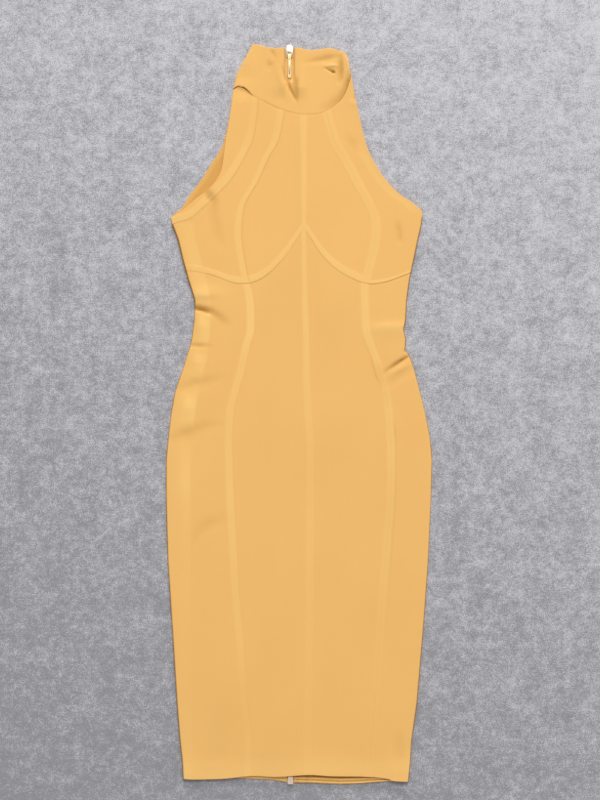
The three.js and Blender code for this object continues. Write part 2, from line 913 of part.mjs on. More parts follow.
function addTapes() {
  const foot = 13.2;
  const head = 1072;
  const inner = chainHalf + layerGap;
  const top = tapeBase + tapeThick;
  const leftTape = box(zipX - tapeReach, zipX - inner, foot, head, tapeBase, top);
  const rightTape = box(zipX + inner, zipX + tapeReach, foot, head, tapeBase, top);
  addPiece('zip_tape_left', leftTape, tape);
  addPiece('zip_tape_right', rightTape, tape);
  const chainFoot = 13.2;
  const chainHead = 1070;
  const chainTop = chainBase + chainThick;
  const chain = box(zipX - chainHalf, zipX + chainHalf, chainFoot, chainHead, chainBase, chainTop);
  addPiece('zip_chain', chain, metal);
}

// Half outline of the slider's plates, wide at its crown
const sliderHalves = [
  { half: 3.6, up: sliderFoot },
  { half: 4.3, up: 1066 },
  { half: 5.5, up: 1073 },
  { half: 5.8, up: 1077 },
  { half: 4.4, up: sliderTop },
];

function mirroredOutline(halves) {
  const right = halves.map((row) => new THREE.Vector2(zipX + row.half, row.up));
  const left = halves.map((row) => new THREE.Vector2(zipX - row.half, row.up)).reverse();
  return [...right, ...left];
}

function lugGeometry() {
  const shape = new THREE.Shape();
  shape.moveTo(hingeUp - lugRadius, plateThick + plateGap + plateThick / 2);
  shape.lineTo(hingeUp + lugRadius, plateThick + plateGap + plateThick / 2);
  shape.lineTo(hingeUp + lugRadius, hingeZ);
  shape.absarc(hingeUp, hingeZ, lugRadius, 0, Math.PI, false);
  const bore = new THREE.Path();
  bore.absarc(hingeUp, hingeZ, lugBore, 0, 2 * Math.PI, true);
  shape.holes.push(bore);
  const settings = { depth: 2 * lugHalf, bevelEnabled: false, curveSegments: 8 };
  const geometry = new THREE.ExtrudeGeometry(shape, settings);
  const across = new THREE.Vector3(1, 0, 0);
  const along = new THREE.Vector3(0, 1, 0);
  const upwards = new THREE.Vector3(0, 0, 1);
  geometry.applyMatrix4(new THREE.Matrix4().makeBasis(along, upwards, across));
  geometry.translate(zipX - lugHalf, 0, 0);
  return geometry;
}

// Two plates joined by a post at the crown, with lips that keep the tapes apart, and an eye
function addSlider() {
  const outline = mirroredOutline(sliderHalves);
  const upperBase = plateThick + plateGap;
  const lipFoot = sliderFoot;
  const lipHead = 1070;
  const post = box(zipX - 1.4, zipX + 1.4, 1073.5, 1079, plateThick / 2, upperBase + 0.5);
  let slider = solidOf(plate(outline, 0, plateThick));
  slider = slider.add(solidOf(plate(outline, upperBase, plateThick)));
  slider = slider.add(solidOf(post));
  for (const side of [-1, 1]) {
    const near = zipX + side * (chainHalf + layerGap);
    const far = near + side * lipWidth;
    const [x0, x1] = side < 0 ? [far, near] : [near, far];
    const lower = box(x0, x1, lipFoot, lipHead, plateThick / 2, tapeBase - layerGap - 0.1);
    const lipBase = tapeBase + tapeThick + layerGap;
    const upper = box(x0, x1, lipFoot, lipHead, lipBase, upperBase + 0.5);
    slider = slider.add(solidOf(lower)).add(solidOf(upper));
  }
  slider = slider.add(solidOf(lugGeometry()));
  addPiece('zip_slider', geometryOf(slider), metal);
}

// The pull hangs by its end bar in the eye and lies on the collar, with a long slot down it
function addPull() {
  const barHalf = 0.75;
  const eyeHalf = 1.6;
  const eyeFoot = 3.7;
  const slotHalf = 0.8;
  const slotHead = 13;
  const slotFoot = 34;
  const shape = new THREE.Shape();
  const at = (dx, down) => [zipX + dx, hingeUp - down];
  shape.moveTo(...at(-pullHalf, -barHalf));
  shape.lineTo(...at(-pullHalf, pullLength - pullHalf));
  shape.absarc(...at(0, pullLength - pullHalf), pullHalf, Math.PI, 2 * Math.PI, false);
  shape.lineTo(...at(pullHalf, -barHalf));
  const eye = new THREE.Path([
    new THREE.Vector2(...at(-eyeHalf, barHalf)),
    new THREE.Vector2(...at(eyeHalf, barHalf)),
    new THREE.Vector2(...at(eyeHalf, eyeFoot)),
    new THREE.Vector2(...at(-eyeHalf, eyeFoot)),
  ]);
  const slot = new THREE.Path([
    new THREE.Vector2(...at(-slotHalf, slotHead)),
    new THREE.Vector2(...at(slotHalf, slotHead)),
    new THREE.Vector2(...at(slotHalf, slotFoot)),
    new THREE.Vector2(...at(-slotHalf, slotFoot)),
  ]);
  shape.holes.push(eye, slot);
  const settings = { depth: pullThick, bevelEnabled: false, curveSegments: 10 };
  const geometry = new THREE.ExtrudeGeometry(shape, settings);
  geometry.translate(0, 0, hingeZ - pullThick / 2);
  addPiece('zip_pull', geometry, metal);
}

// Metal end of the zip at the hem, a little boot with its toe to the left
function addZipEnd() {
  const outline = [
    { x: -16.6, up: 12.7 },
    { x: -16.9, up: 5.2 },
    { x: -18.8, up: 3.4 },
    { x: -17.8, up: 0.9 },
    { x: -9.4, up: 0.7 },
    { x: -8, up: 2.6 },
    { x: -8.4, up: 12.7 },
  ].map((row) => new THREE.Vector2(row.x, row.up));
  addPiece('zip_end', plate(outline, 0, 4.4), metal);
}

addCollar();
addBust();
addArmholeBand();
addSkirt();
addBack();
addTapes();
addSlider();
addPull();
addZipEnd();

export default dress;
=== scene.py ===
import math

import bmesh
import bpy
import numpy as np
from mathutils import Matrix, Vector


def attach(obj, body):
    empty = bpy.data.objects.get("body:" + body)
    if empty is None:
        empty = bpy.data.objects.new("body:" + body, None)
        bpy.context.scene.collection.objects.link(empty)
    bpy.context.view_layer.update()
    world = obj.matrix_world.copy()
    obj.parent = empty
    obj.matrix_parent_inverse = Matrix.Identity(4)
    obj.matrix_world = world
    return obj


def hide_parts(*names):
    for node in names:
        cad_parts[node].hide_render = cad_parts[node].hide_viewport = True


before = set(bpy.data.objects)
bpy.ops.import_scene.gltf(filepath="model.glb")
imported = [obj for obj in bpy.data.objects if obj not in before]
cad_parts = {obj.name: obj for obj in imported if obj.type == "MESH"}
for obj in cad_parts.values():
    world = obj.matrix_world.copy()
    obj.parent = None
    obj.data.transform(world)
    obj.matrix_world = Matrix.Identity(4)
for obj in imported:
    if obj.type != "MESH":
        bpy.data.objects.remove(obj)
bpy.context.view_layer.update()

# A sleeveless bodycon dress of banded knit, laid flat on its back.
# The tables are in millimetres: x runs across, up is the height above the hem's lowest point.
mm = 0.001
middleUp = 541.5


def say(stage):
    print("dress:", stage)


def table(names, *rows):  # named columns from rows of numbers
    return dict(zip(names.split(), np.array(rows, float).T))


# Camera, straight above

view = {
    "distance": 2.6,
    "middleX": 0.0015,
    "middleY": 0.0209,
    "heightSeen": 1.1704,
    "sensor": 36,
}


def addCamera():
    data = bpy.data.cameras.new("camera")
    data.sensor_width = view["sensor"]
    data.lens = view["sensor"] * view["distance"] / view["heightSeen"]
    data.clip_end = 30
    camera = bpy.data.objects.new("camera", data)
    camera.location = (view["middleX"], view["middleY"], view["distance"])
    bpy.context.scene.collection.objects.link(camera)
    bpy.context.scene.camera = camera


addCamera()

# Materials


def paint(red, green, blue):  # a colour as the eye reads it, from 0 to 255
    shares = [channel / 255 for channel in (red, green, blue)]
    linear = [s / 12.92 if s <= 0.04045 else ((s + 0.055) / 1.055) ** 2.4 for s in shares]
    return (*linear, 1)


class Value:  # a node's socket, so that maths on it is written as maths
    def __init__(self, finish, socket):
        self.finish = finish
        self.socket = socket

    def maths(self, operation, *others):
        sockets = dict(enumerate([self, *others]))
        return self.finish.node("ShaderNodeMath", {"operation": operation}, sockets)

    def __add__(self, other):
        return self.maths("ADD", other)

    def __sub__(self, other):
        return self.maths("SUBTRACT", other)

    def __rsub__(self, other):
        return (self * -1).maths("ADD", other)

    def __mul__(self, other):
        return self.maths("MULTIPLY", other)

    __radd__ = __add__
    __rmul__ = __mul__


class Finish:  # a material and its nodes
    def __init__(self, name):
        self.material = bpy.data.materials.new(name)
        self.material.use_nodes = True
        self.tree = self.material.node_tree
        self.tree.nodes.clear()

    def node(self, kind, settings=None, sockets=None, output=0):
        made = self.tree.nodes.new(kind)
        for name, setting in (settings or {}).items():
            if name == "stops":
                self.setStops(made.color_ramp, setting)
            else:
                setattr(made, name, setting)
        for key, value in (sockets or {}).items():
            if isinstance(value, Value):
                self.tree.links.new(value.socket, made.inputs[key])
            else:
                made.inputs[key].default_value = value
        return Value(self, made.outputs[output]) if len(made.outputs) else made

    def setStops(self, ramp, stops):
        while len(ramp.elements) < len(stops):
            ramp.elements.new(0.5)
        for element, (position, colour) in zip(ramp.elements, stops):
            element.position = position
            element.color = colour

    def mix(self, share, first, second):  # between two colours
        settings = {"data_type": "RGBA", "clamp_factor": True}
        return self.node("ShaderNodeMix", settings, {0: share, 6: first, 7: second}, output=2)

    def noise(self, vector, scale, detail=2, roughness=0.5):
        sockets = {"Vector": vector, "Scale": scale, "Detail": detail, "Roughness": roughness}
        return self.node("ShaderNodeTexNoise", {}, sockets)

    def attribute(self, name):
        return self.node("ShaderNodeAttribute", {"attribute_name": name}, output="Fac")

    def bump(self, height, strength, distance, normal=None):
        sockets = {"Height": height, "Strength": strength, "Distance": distance}
        if normal:
            sockets["Normal"] = normal
        return self.node("ShaderNodeBump", {}, sockets)

    def surface(self, sockets):
        shader = self.node("ShaderNodeBsdfPrincipled", {}, sockets)
        self.node("ShaderNodeOutputMaterial", {}, {"Surface": shader})
        return self.material


knit = {
    "face": paint(248, 195, 116),  # the right side
    "shade": paint(242, 185, 104),  # random soft patches, and painted shade in the hollows between stitches
    "strip": paint(255, 208, 127),  # seam strips, and painted highlights on swells and edges
    "hollow": paint(166, 110, 26),  # painted shade for the deepest creases, seam grooves and turned-under sides
    "reverse": paint(235, 178, 96),  # the inside of the cloth, darkened partly as painted shade where it shows under the front's edges
    "wale": 0.0011,  # metres from one column of stitches to the next
    "course": 0.0009,
    "patch": 9,  # soft patches to the metre
    "stitchDepth": 0.00022,
    "sheen": 0.12,
}


def knitFinish():
    cloth = Finish("banded knit")
    uv = cloth.node("ShaderNodeTexCoord", output="UV")
    place = cloth.node("ShaderNodeTexCoord", output="Object")
    across = cloth.node("ShaderNodeSeparateXYZ", {}, {0: uv}, output="X")
    along = cloth.node("ShaderNodeSeparateXYZ", {}, {0: uv}, output="Y")
    wale = (across * (1 / knit["wale"])).maths("FRACT")
    leg = (wale - 0.5).maths("ABSOLUTE")  # 0 down the middle of a stitch, 0.5 at its sides
    course = (along * (2 * math.pi / knit["course"]) + leg * (2 * math.pi)).maths("SINE")
    stitch = (0.5 - leg) * 1.4 + course * 0.22 + 0.3
    fuzz = cloth.noise(uv, 2600, 3, 0.6)
    patches = cloth.noise(place, knit["patch"], 2, 0.4)
    streaks = cloth.noise(cloth.node("ShaderNodeMapping", {}, {"Vector": uv, "Scale": (260, 9, 1)}), 1, 2)
    # random patches, streaks and fuzz, with painted shade in the hollows between stitches
    mottleAndStitchShade = patches * 0.5 + streaks * 0.16 + (1 - stitch) * 0.22 + fuzz * 0.1
    colour = cloth.mix(mottleAndStitchShade, knit["face"], knit["shade"])
    # the strip colour also paints the highlights where the painted shading is negative
    colour = cloth.mix(cloth.attribute("strip"), colour, knit["strip"])
    # the inside of the cloth: its own tone, partly darkened as painted shade
    colour = cloth.mix(cloth.attribute("reverse"), colour, knit["reverse"])
    # painted shade in creases, seam grooves and along the sides where the cloth turns under
    uneven = cloth.noise(place, 190, 2, 0.6) * 0.5 + 0.75
    colour = cloth.mix(cloth.attribute("hollow") * uneven, colour, knit["hollow"])
    loops = cloth.bump(stitch + fuzz * 0.35, 0.55, knit["stitchDepth"])
    puckers = cloth.noise(place, 62, 2, 0.5)
    return cloth.surface({
        "Base Color": colour,
        "Roughness": 0.78 + fuzz * 0.14,
        "Specular IOR Level": 0.25,
        "Sheen Weight": knit["sheen"],
        "Sheen Roughness": 0.5,
        "Normal": cloth.bump(puckers, 0.12, 0.0012, loops),
    })


tape = {
    "thread": paint(232, 172, 92),
    # painted shade in the hollows between the woven cords
    "hollow": paint(196, 134, 62),
    "rib": 0.0007,
}


def tapeFinish():
    woven = Finish("woven tape")
    uv = woven.node("ShaderNodeTexCoord", output="UV")
    across = woven.node("ShaderNodeSeparateXYZ", {}, {0: uv}, output="X")
    along = woven.node("ShaderNodeSeparateXYZ", {}, {0: uv}, output="Y")
    rib = (along * (2 * math.pi / tape["rib"])).maths("SINE")
    cords = (across * (2 * math.pi / (2.4 * tape["rib"]))).maths("SINE")
    weave = rib * cords * 0.5 + 0.5
    fuzz = woven.noise(uv, 3000, 2)
    return woven.surface({
        # painted shade darkens the hollows of the weave
        "Base Color": woven.mix(weave * 0.8 + fuzz * 0.2, tape["hollow"], tape["thread"]),
        "Roughness": 0.72 + fuzz * 0.15,
        "Sheen Weight": 0.1,
        "Normal": woven.bump(weave, 0.6, 0.0002),
    })


metal = {
    "bright": paint(250, 244, 230),
    "dull": paint(220, 208, 190),
    "warm": paint(228, 203, 156),  # the pull, warmed as a painted reflection of the yellow cloth
    "clothReflectionDull": paint(216, 180, 122),
    "rose": paint(255, 238, 220),  # lacquered
    "roseDull": paint(236, 198, 176),
}


def metalFinish(name, bright, dull, roughness, metallic=1):
    plated = Finish(name)
    place = plated.node("ShaderNodeTexCoord", output="Object")
    cloudy = plated.noise(place, 240, 3, 0.6)
    drawn = plated.node("ShaderNodeMapping", {}, {"Vector": place, "Scale": (2600, 180, 900)})
    scratch = plated.noise(drawn, 1, 2)
    return plated.surface({
        "Base Color": plated.mix(cloudy * 0.7 + scratch * 0.2, bright, dull),
        "Metallic": metallic,
        "Roughness": roughness + cloudy * 0.1 + scratch * 0.06,
        "Normal": plated.bump(scratch, 0.08, 0.0001),
    })


finishes = {
    "cloth": knitFinish(),
    "tape": tapeFinish(),
    "metal": metalFinish("bright metal", metal["bright"], metal["dull"], 0.24),
    # the pull's metal, warmed by a painted reflection of the yellow cloth
    "warm": metalFinish("warm metal", metal["warm"], metal["clothReflectionDull"], 0.28),
    "rose": metalFinish("rosy metal", metal["rose"], metal["roseDull"], 0.26, 0.35),
}
say("finishes mixed")

# Outline and seams of the dress

cloth = {
    "wall": 1.8,  # thickness
    "foldRadius": 2.5,  # of the folds down both sides
    "seamGroove": 0.55,  # share of the wall that the deepest seam sinks
    "seamWidth": 2.2,
    "stripWidth": 10,
    "skirtStrips": {"left": 11, "leftOfCentre": 7.5, "rightOfCentre": 5, "rightInner": 4.9, "right": 6.3},
    "bustInner": 4.9,  # the strip on the right of the bust, on both sides of its seam
    "bustOuter": 7.4,
    "stripRise": 0.28,
    "stripEdge": 2,
    "cell": 1.9,  # size of a mesh cell
    "bandCell": 1.8,
    "sharpFrom": 60,  # degrees
}

sideEdges = table(
    "up left right",
    (5, -169, 160), (33, -170.5, 163), (65, -174, 165), (123, -178.5, 173),
    (241, -186, 183), (328, -191.5, 189), (416, -194, 193), (474, -194, 194.5),
    (507, -191, 191.5), (541, -187, 185), (574, -181, 177), (608, -169.5, 168),
    (626, -164, 162), (635, -161, 155.5), (650, -157, 156.5), (665, -155, 153.5),
    (681, -153, 156.5), (709, -153, 158), (738, -162, 162), (767, -170, 168),
    (796, -177, 174), (818, -185, 179), (829, -187, 180),
)
armholeBackLeft = table(
    "x up",
    (-187, 829), (-181, 835), (-170, 844), (-161, 860), (-145, 881),
    (-128, 908), (-116, 926), (-109, 943), (-101, 979), (-96, 1016),
)
armholeFrontLeft = table(
    "x up",
    (-187, 829), (-177, 835), (-167, 842), (-158, 850), (-149, 857.5), (-139, 865),
    (-129, 874), (-120, 885), (-113, 900), (-110, 920), (-107, 943), (-101, 979), (-96, 1016),
)
armholeRight = table(
    "x up",
    (180, 829), (179.5, 838), (165, 851), (148, 862), (131, 879), (118, 896),
    (104, 921), (96, 943), (89, 973), (82, 1006), (76, 1038),
)
bandEdge = table(
    "x up",
    (-185, 819), (-176, 822), (-158, 828), (-142, 841), (-116, 866),
    (-100, 883), (-85, 906), (-68, 941), (-62, 972), (-59, 1003),
)
neckSeam = table(
    "x up",
    (-96, 1016), (-85, 1020), (-67, 1007), (-56, 1001), (-30, 988), (-3, 980),
    (15, 979), (37, 983), (62, 1002), (73, 1025), (76, 1038),
)
backNeckSeam = table("x up", (-97, 1010), (-14, 1000), (80, 1016))
collarLeft = table("x up", (-96, 1016), (-91, 1038), (-80, 1059), (-67, 1082.7))
collarRight = table("x up", (76, 1038), (73, 1054), (69, 1069))
collarTop = table(
    "x up",
    (-67, 1082.7), (-56, 1080), (-40, 1076), (-21, 1076), (-3, 1076),
    (15, 1073), (30, 1074), (46, 1076), (65, 1070.5), (69, 1069),
)
bustSeamLeft = table(
    "x up",
    (-72, 732.8), (-77, 754), (-81, 777), (-84, 805), (-81, 838),
    (-74.5, 857), (-60, 881), (-44, 916), (-30, 941), (-21, 984),
)
bustSeamRight = table(
    "x up",
    (95, 732.8), (100, 750), (105, 768), (110, 793), (111, 821),
    (103.5, 843), (87, 873), (71.5, 902), (50.5, 941), (39, 984),
)
bustSeamCentre = table("x up", (7, 814), (7, 900), (6, 980))
archLeft = table(
    "x up",
    (-164, 751), (-149, 750.5), (-134, 747), (-117, 741.5), (-101, 735), (-86, 731.8), (-70, 733),
    (-55, 739), (-42.5, 748), (-30.5, 760), (-18, 775), (-5, 794.5), (7, 814),
)
archRight = table(
    "x up",
    (7, 814), (18, 797), (31, 777), (47, 759.5), (63, 747.5), (79, 739), (92, 733.5),
    (107, 731.5), (125, 734), (142, 739.5), (164, 748),
)
skirtSeams = table(
    "up left centre right",
    (65, -69, 13, 106), (123, -75, 14, 111), (212, -81, 15, 117), (260, -86, 16, 120.5),
    (328, -90, 16.5, 126),
    (416, -95, 17, 133), (489, -97.5, 17, 133.8), (518, -97, 16, 132), (548, -95, 14, 130),
    (577, -87.5, 12.5, 125.3),
    (599, -81, 11.5, 118.5), (621, -76, 11.5, 112), (643, -71.5, 11, 103.6),
    (665, -65.5, 10.5, 97.5), (709, -66.5, 9, 95.5),
)
hemFront = table(
    "x up",
    (-169, 9), (-150, 8), (-110, 9), (-70, 13), (-32, 12), (13, 15),
    (47, 13), (99, 12), (129, 8), (137, 5), (160, 3),
)
hemBack = table(
    "x up",
    (-168, 9), (-110, 10), (-80, 9), (-41, 7), (-14, 3), (16, 2),
    (61, 0), (92, 1), (135, 4), (159, 4),
)


def spots(rows):
    return np.column_stack([rows["x"], rows["up"]])


def column(rows, name):
    return np.column_stack([rows[name], rows["up"]])


def through(points):  # a smooth curve over 0 to 1, even along its length
    points = np.asarray(points, float)
    last = len(points) - 1

    def at(share):
        place = np.clip(np.asarray(share, float), 0, 1) * last
        index = np.minimum(place.astype(int), last)
        t = (place - index)[..., None]
        a, b = points[np.maximum(index - 1, 0)], points[index]
        c, d = points[np.minimum(index + 1, last)], points[np.minimum(index + 2, last)]
        leave, arrive = (c - a) / 2, (d - b) / 2
        cubic = 2 * b - 2 * c + leave + arrive
        square = 3 * c - 3 * b - 2 * leave - arrive
        return ((cubic * t + square) * t + leave) * t + b

    shares = np.linspace(0, 1, 401)
    steps = np.linalg.norm(np.diff(at(shares), axis=0), axis=1)
    lengths = np.concatenate([[0], np.cumsum(steps)])
    return lambda share: at(np.interp(np.asarray(share) * lengths[-1], lengths, shares))


def stretch(edge, start, end):
    return lambda share: edge(start + (end - start) * np.asarray(share))


def straight(a, b):
    return lambda share: a + (b - a) * np.asarray(share)[..., None]


def joined(lower, upper, share):
    def at(t):
        t = np.asarray(t, float)
        below = lower(np.clip(t / share, 0, 1))
        above = upper(np.clip((t - share) / (1 - share), 0, 1))
        return np.where((t <= share)[..., None], below, above)

    return at


def movedAside(edge, distance):  # to its left, by a distance that depends on the share
    def at(t):
        t = np.asarray(t, float)
        run = edge(np.minimum(t + 0.002, 1)) - edge(np.maximum(t - 0.002, 0))
        run /= np.linalg.norm(run, axis=-1, keepdims=True)
        aside = np.stack([-run[..., 1], run[..., 0]], axis=-1)
        return edge(t) + aside * distance(t)[..., None]

    return at


def shareAt(edge, value, axis=0):  # where a curve that runs with an axis passes a value
    shares = np.linspace(0, 1, 4001)
    return float(np.interp(value, edge(shares)[:, axis], shares))


def soft(value, start, end):  # 0 before start, 1 after end
    t = np.clip((value - start) / (end - start), 0, 1)
    return t * t * (3 - 2 * t)


# Heights of the front

puffs = table(
    "up rise",
    (0, 1.6), (200, 1.6), (480, 1.9), (640, 2.1), (700, 2.3), (780, 2.1), (900, 1.7), (1000, 2.2),
    (1083, 2.4),
)


def fold(*places):
    return table("x up left right rise tint", *places)


# A fold runs through its places, and left and right are the widths of its flanks as one
# walks along it. Its last number paints shade there where positive and a highlight where negative
frontFolds = {
    "left waist crease": fold(
        (-156, 697, 4.2, 2, -2.6, 0.75), (-147, 695, 5, 2, -3.2, 1.1), (-138, 693, 5.4, 2, -2.8, 1),
        (-129, 690.5, 6, 3, -1.8, 0.4), (-114, 681, 6, 7, -0.8, 0.14), (-98, 668, 6, 8, 0, 0),
    ),
    "swell above it": fold(
        (-160, 716, 9, 6, 1, -0.1), (-138, 716, 12, 6, 1.5, -0.3), (-112, 722, 14, 9, 0.2, -0.3),
        (-90, 718, 9, 9, 0, 0),
    ),
    "swell below it": fold(
        (-150, 690, 8, 9, 0.6, 0), (-143, 670, 8, 9, 1.5, 0), (-143, 648, 8, 9, 0.6, 0),
    ),
    "left waist hollow": fold(
        (-116, 694, 8, 8, 0, 0), (-113, 676, 9, 10, -0.5, 0.06), (-120, 655, 9, 9, 0, 0),
    ),
    "short left crease": fold(
        (-158, 642, 3, 2.4, -1.1, 0.16), (-146, 641, 3, 2.4, -1.1, 0.22),
        (-135, 641, 3, 2.4, -0.6, 0.16),
        (-125, 640, 3, 3, 0, 0),
    ),
    "upper left swell": fold(
        (-154, 634, 8, 9, 0.4, 0), (-150, 617, 8, 9, 1.4, 0), (-152, 600, 8, 9, 0.5, 0),
    ),
    "upper left hollow": fold(
        (-171, 577, 8, 10, -0.8, 0.04), (-150, 584, 8, 10, -1.2, 0.07),
        (-125, 591, 7, 9, -0.7, 0.04), (-106, 597, 7, 8, 0, 0),
    ),
    "lower left swell": fold(
        (-167, 568, 9, 10, 0.5, 0), (-163, 550, 9, 10, 1.4, 0), (-163, 530, 9, 10, 0.5, 0),
    ),
    "lower left hollow": fold(
        (-183, 505, 8, 10, -0.7, 0.06), (-165, 512, 8, 11, -1.1, 0.11), (-140, 522, 8, 10, -0.8, 0.08),
        (-118, 526, 7, 8, -0.3, 0.02), (-104, 527, 7, 8, 0, 0),
    ),
    "left skirt swell": fold(
        (-173, 500, 9, 8, 0.5, 0), (-170, 440, 9, 8, 1, 0), (-169, 350, 9, 8, 0.7, 0),
        (-171, 240, 9, 8, 0, 0),
    ),
    "left crescent": fold(
        (-157, 342, 7, 7, 0, 0), (-148, 364, 8, 8, -0.7, 0.06), (-133, 380, 9, 8, -1, 0.08),
        (-104, 388, 8, 7, -0.2, 0.02),
    ),
    "left hem hollow": fold(
        (-118, 150, 24, 24, 0, 0), (-114, 80, 24, 24, -0.5, 0.03), (-112, 30, 24, 20, -0.3, 0.04),
    ),
    "right hem hollow": fold(
        (147, 80, 8, 9, 0, 0), (147, 48, 8, 9, -1.2, 0.09), (147, 12, 8, 9, -1, 0.1),
    ),
    "armhole dent": fold(
        (-140, 870, 4, 4, -0.4, 0.05), (-131, 861, 6.5, 6.5, -1.8, 0.42),
        (-124, 852, 5.5, 6, -1.2, 0.2),
        (-124, 832, 6, 8, -0.9, 0.1), (-119, 802, 8, 9, -0.8, 0.07), (-109, 778, 7, 8, 0, 0),
    ),
    "right bust dent": fold(
        (143.5, 826, 3.5, 4, 0, 0), (145.5, 812, 3.5, 4.5, -1.1, 0.14),
        (147, 798, 3.5, 4.5, -1.1, 0.14), (148, 786, 3.5, 4, 0, 0),
    ),
    "right strap hollow": fold(
        (64, 952, 6, 6, 0, 0), (78, 938, 7, 7, -0.4, 0.12), (88, 920, 6, 6, 0, 0),
    ),
    "right waist swell": fold(
        (98, 667, 7, 10, 0.2, -0.1), (125, 669, 7, 11, 1, -0.4), (157, 670, 7, 11, 1, -0.5),
    ),
    "right waist hollow": fold(
        (108, 648, 9, 9, 0, 0), (135, 648, 9, 9, -0.1, 0), (156, 648, 9, 9, -0.1, 0),
    ),
    "right waist crease": fold(
        (161, 627, 2, 2, -2.2, 0.5), (151, 621.5, 2.2, 2, -2.8, 0.95), (143, 616, 2.4, 2.2, -2.4, 0.8),
        (134, 609.5, 2.6, 2.6, -1.6, 0.35), (121, 599, 3, 3, 0, 0),
    ),
    "ridge below it": fold(
        (160, 614, 4, 4, 0.5, -0.04), (147, 607, 4, 4, 1.1, -0.06), (132, 597, 4, 4, 0.2, 0),
    ),
    "hollow below it": fold(
        (163, 603, 5, 8, -0.4, 0), (150, 596, 5, 8, -0.6, 0.02), (138, 587, 5, 8, -0.5, 0.02),
        (125, 579, 5, 7, 0, 0),
    ),
    "upper right nick": fold(
        (157, 667, 1.6, 1.6, -1, 0.5), (152.5, 666, 1.6, 1.6, -0.6, 0.35),
        (148, 666, 1.6, 1.6, 0, 0),
    ),
    "lower right nick": fold(
        (158, 642, 1.4, 1.4, -0.8, 0.35), (154.5, 635.5, 1.6, 1.6, -1, 0.5),
        (152.5, 630, 1.2, 1.2, 0, 0),
    ),
    "line left of the right strip": fold(
        (94.5, 656, 1.4, 1.4, 0, 0), (98, 641, 1.4, 1.4, 0, 0.07), (105, 625, 1.4, 1.4, 0, 0.1),
        (111.5, 599, 1.6, 1.6, 0, 0.2), (118, 586, 1.4, 1.4, 0, 0.06), (122, 574, 1.4, 1.4, 0, 0),
    ),
    "line right of it": fold(
        (138, 536, 1.4, 1.4, 0, 0), (140.5, 518, 1.5, 1.5, 0, 0.16), (141.5, 488, 1.4, 1.4, 0, 0.06),
        (140.5, 416, 1.5, 1.5, 0, 0.12), (134, 328, 1.6, 1.6, 0, 0.08), (127, 250, 1.6, 1.6, 0, 0),
    ),
    "right shoulder": fold(
        (70, 999, 4, 4, 0, 0), (76, 997, 4, 4, 0.6, -0.3), (84, 995, 4, 4, 0.4, -0.3),
    ),
    "right shoulder nick": fold((84.5, 1010, 1.6, 1.6, -0.6, 0.6), (80, 1003, 1.6, 1.6, 0, 0.1)),
}
collarFolds = {
    "upper hollow": fold(
        (10, 1055, 4, 3, -0.2, 0.02), (26, 1057.5, 5, 4, -1, 0.18),
        (44, 1061, 5.5, 4.5, -1.4, 0.26), (59, 1064, 4, 4, -0.2, 0.03),
    ),
    "ridge below it": fold(
        (35, 1049.5, 2.4, 2.4, 0.2, 0), (49, 1051, 2.4, 3, 1.5, -0.16),
        (58, 1050, 2.4, 2.6, 0.2, 0),
    ),
    "pinched wedge": fold(
        (37, 1047, 1.6, 1.4, -0.4, 0.05), (45, 1043.5, 1.8, 1.4, -1.8, 0.5),
        (50, 1041, 2.4, 1.8, -2.4, 1.1),
        (54.5, 1039.5, 1.6, 1.2, 0, 0.1),
    ),
    "right hollow": fold(
        (58, 1022, 5, 4, 0, 0), (62, 1032, 5.5, 3, -1.4, 0.32), (62.5, 1043, 6, 2.6, -2.3, 0.5),
        (62, 1055, 5, 2.4, -1.5, 0.34),
        (61, 1067, 4, 2.4, 0, 0.02),
    ),
    "right roll": fold(
        (74, 1028, 3, 3, 0, 0), (72.5, 1043, 3, 3.5, 1.5, -0.5), (70.5, 1058, 2.4, 3, 1.3, -0.45),
        (67, 1070, 2, 2, 0, 0),
    ),
    "right corner": fold(
        (65.5, 1072, 1.6, 1.6, -0.8, 0.35), (69, 1064, 1.6, 1.6, -0.3, 0.15),
        (70, 1059, 1.4, 1.4, 0, 0),
    ),
    "left dent": fold((-46, 1060, 5, 5, 0, 0), (-43.5, 1051, 5, 5, -1, 0.15), (-45, 1041, 5, 5, 0, 0)),
    "upper left dent": fold(
        (-42, 1077, 3, 4, -0.4, 0.03), (-38.5, 1068, 3, 4, -1, 0.14), (-35, 1058, 4, 4, 0, 0),
    ),
    "left swell": fold(
        (-69, 1076, 12, 12, 0.2, 0), (-76, 1052, 14, 12, 0.8, 0.03), (-80, 1034, 12, 12, 0, 0),
    ),
    "right of the neck": fold(
        (76.5, 1042, 3, 4, -1, 0.4), (73, 1028, 3, 5, -1.3, 0.55), (69, 1014, 3, 6, -1.1, 0.42),
        (60, 1001, 3.5, 7, -0.9, 0.3),
        (44, 990, 4, 7, -0.5, 0.14), (28, 984, 4, 6, 0, 0),
    ),
    "left nick": fold((-95.5, 1036, 1.3, 1.3, -0.8, 0.7), (-91, 1032.5, 1.3, 1.3, 0, 0.1)),
}

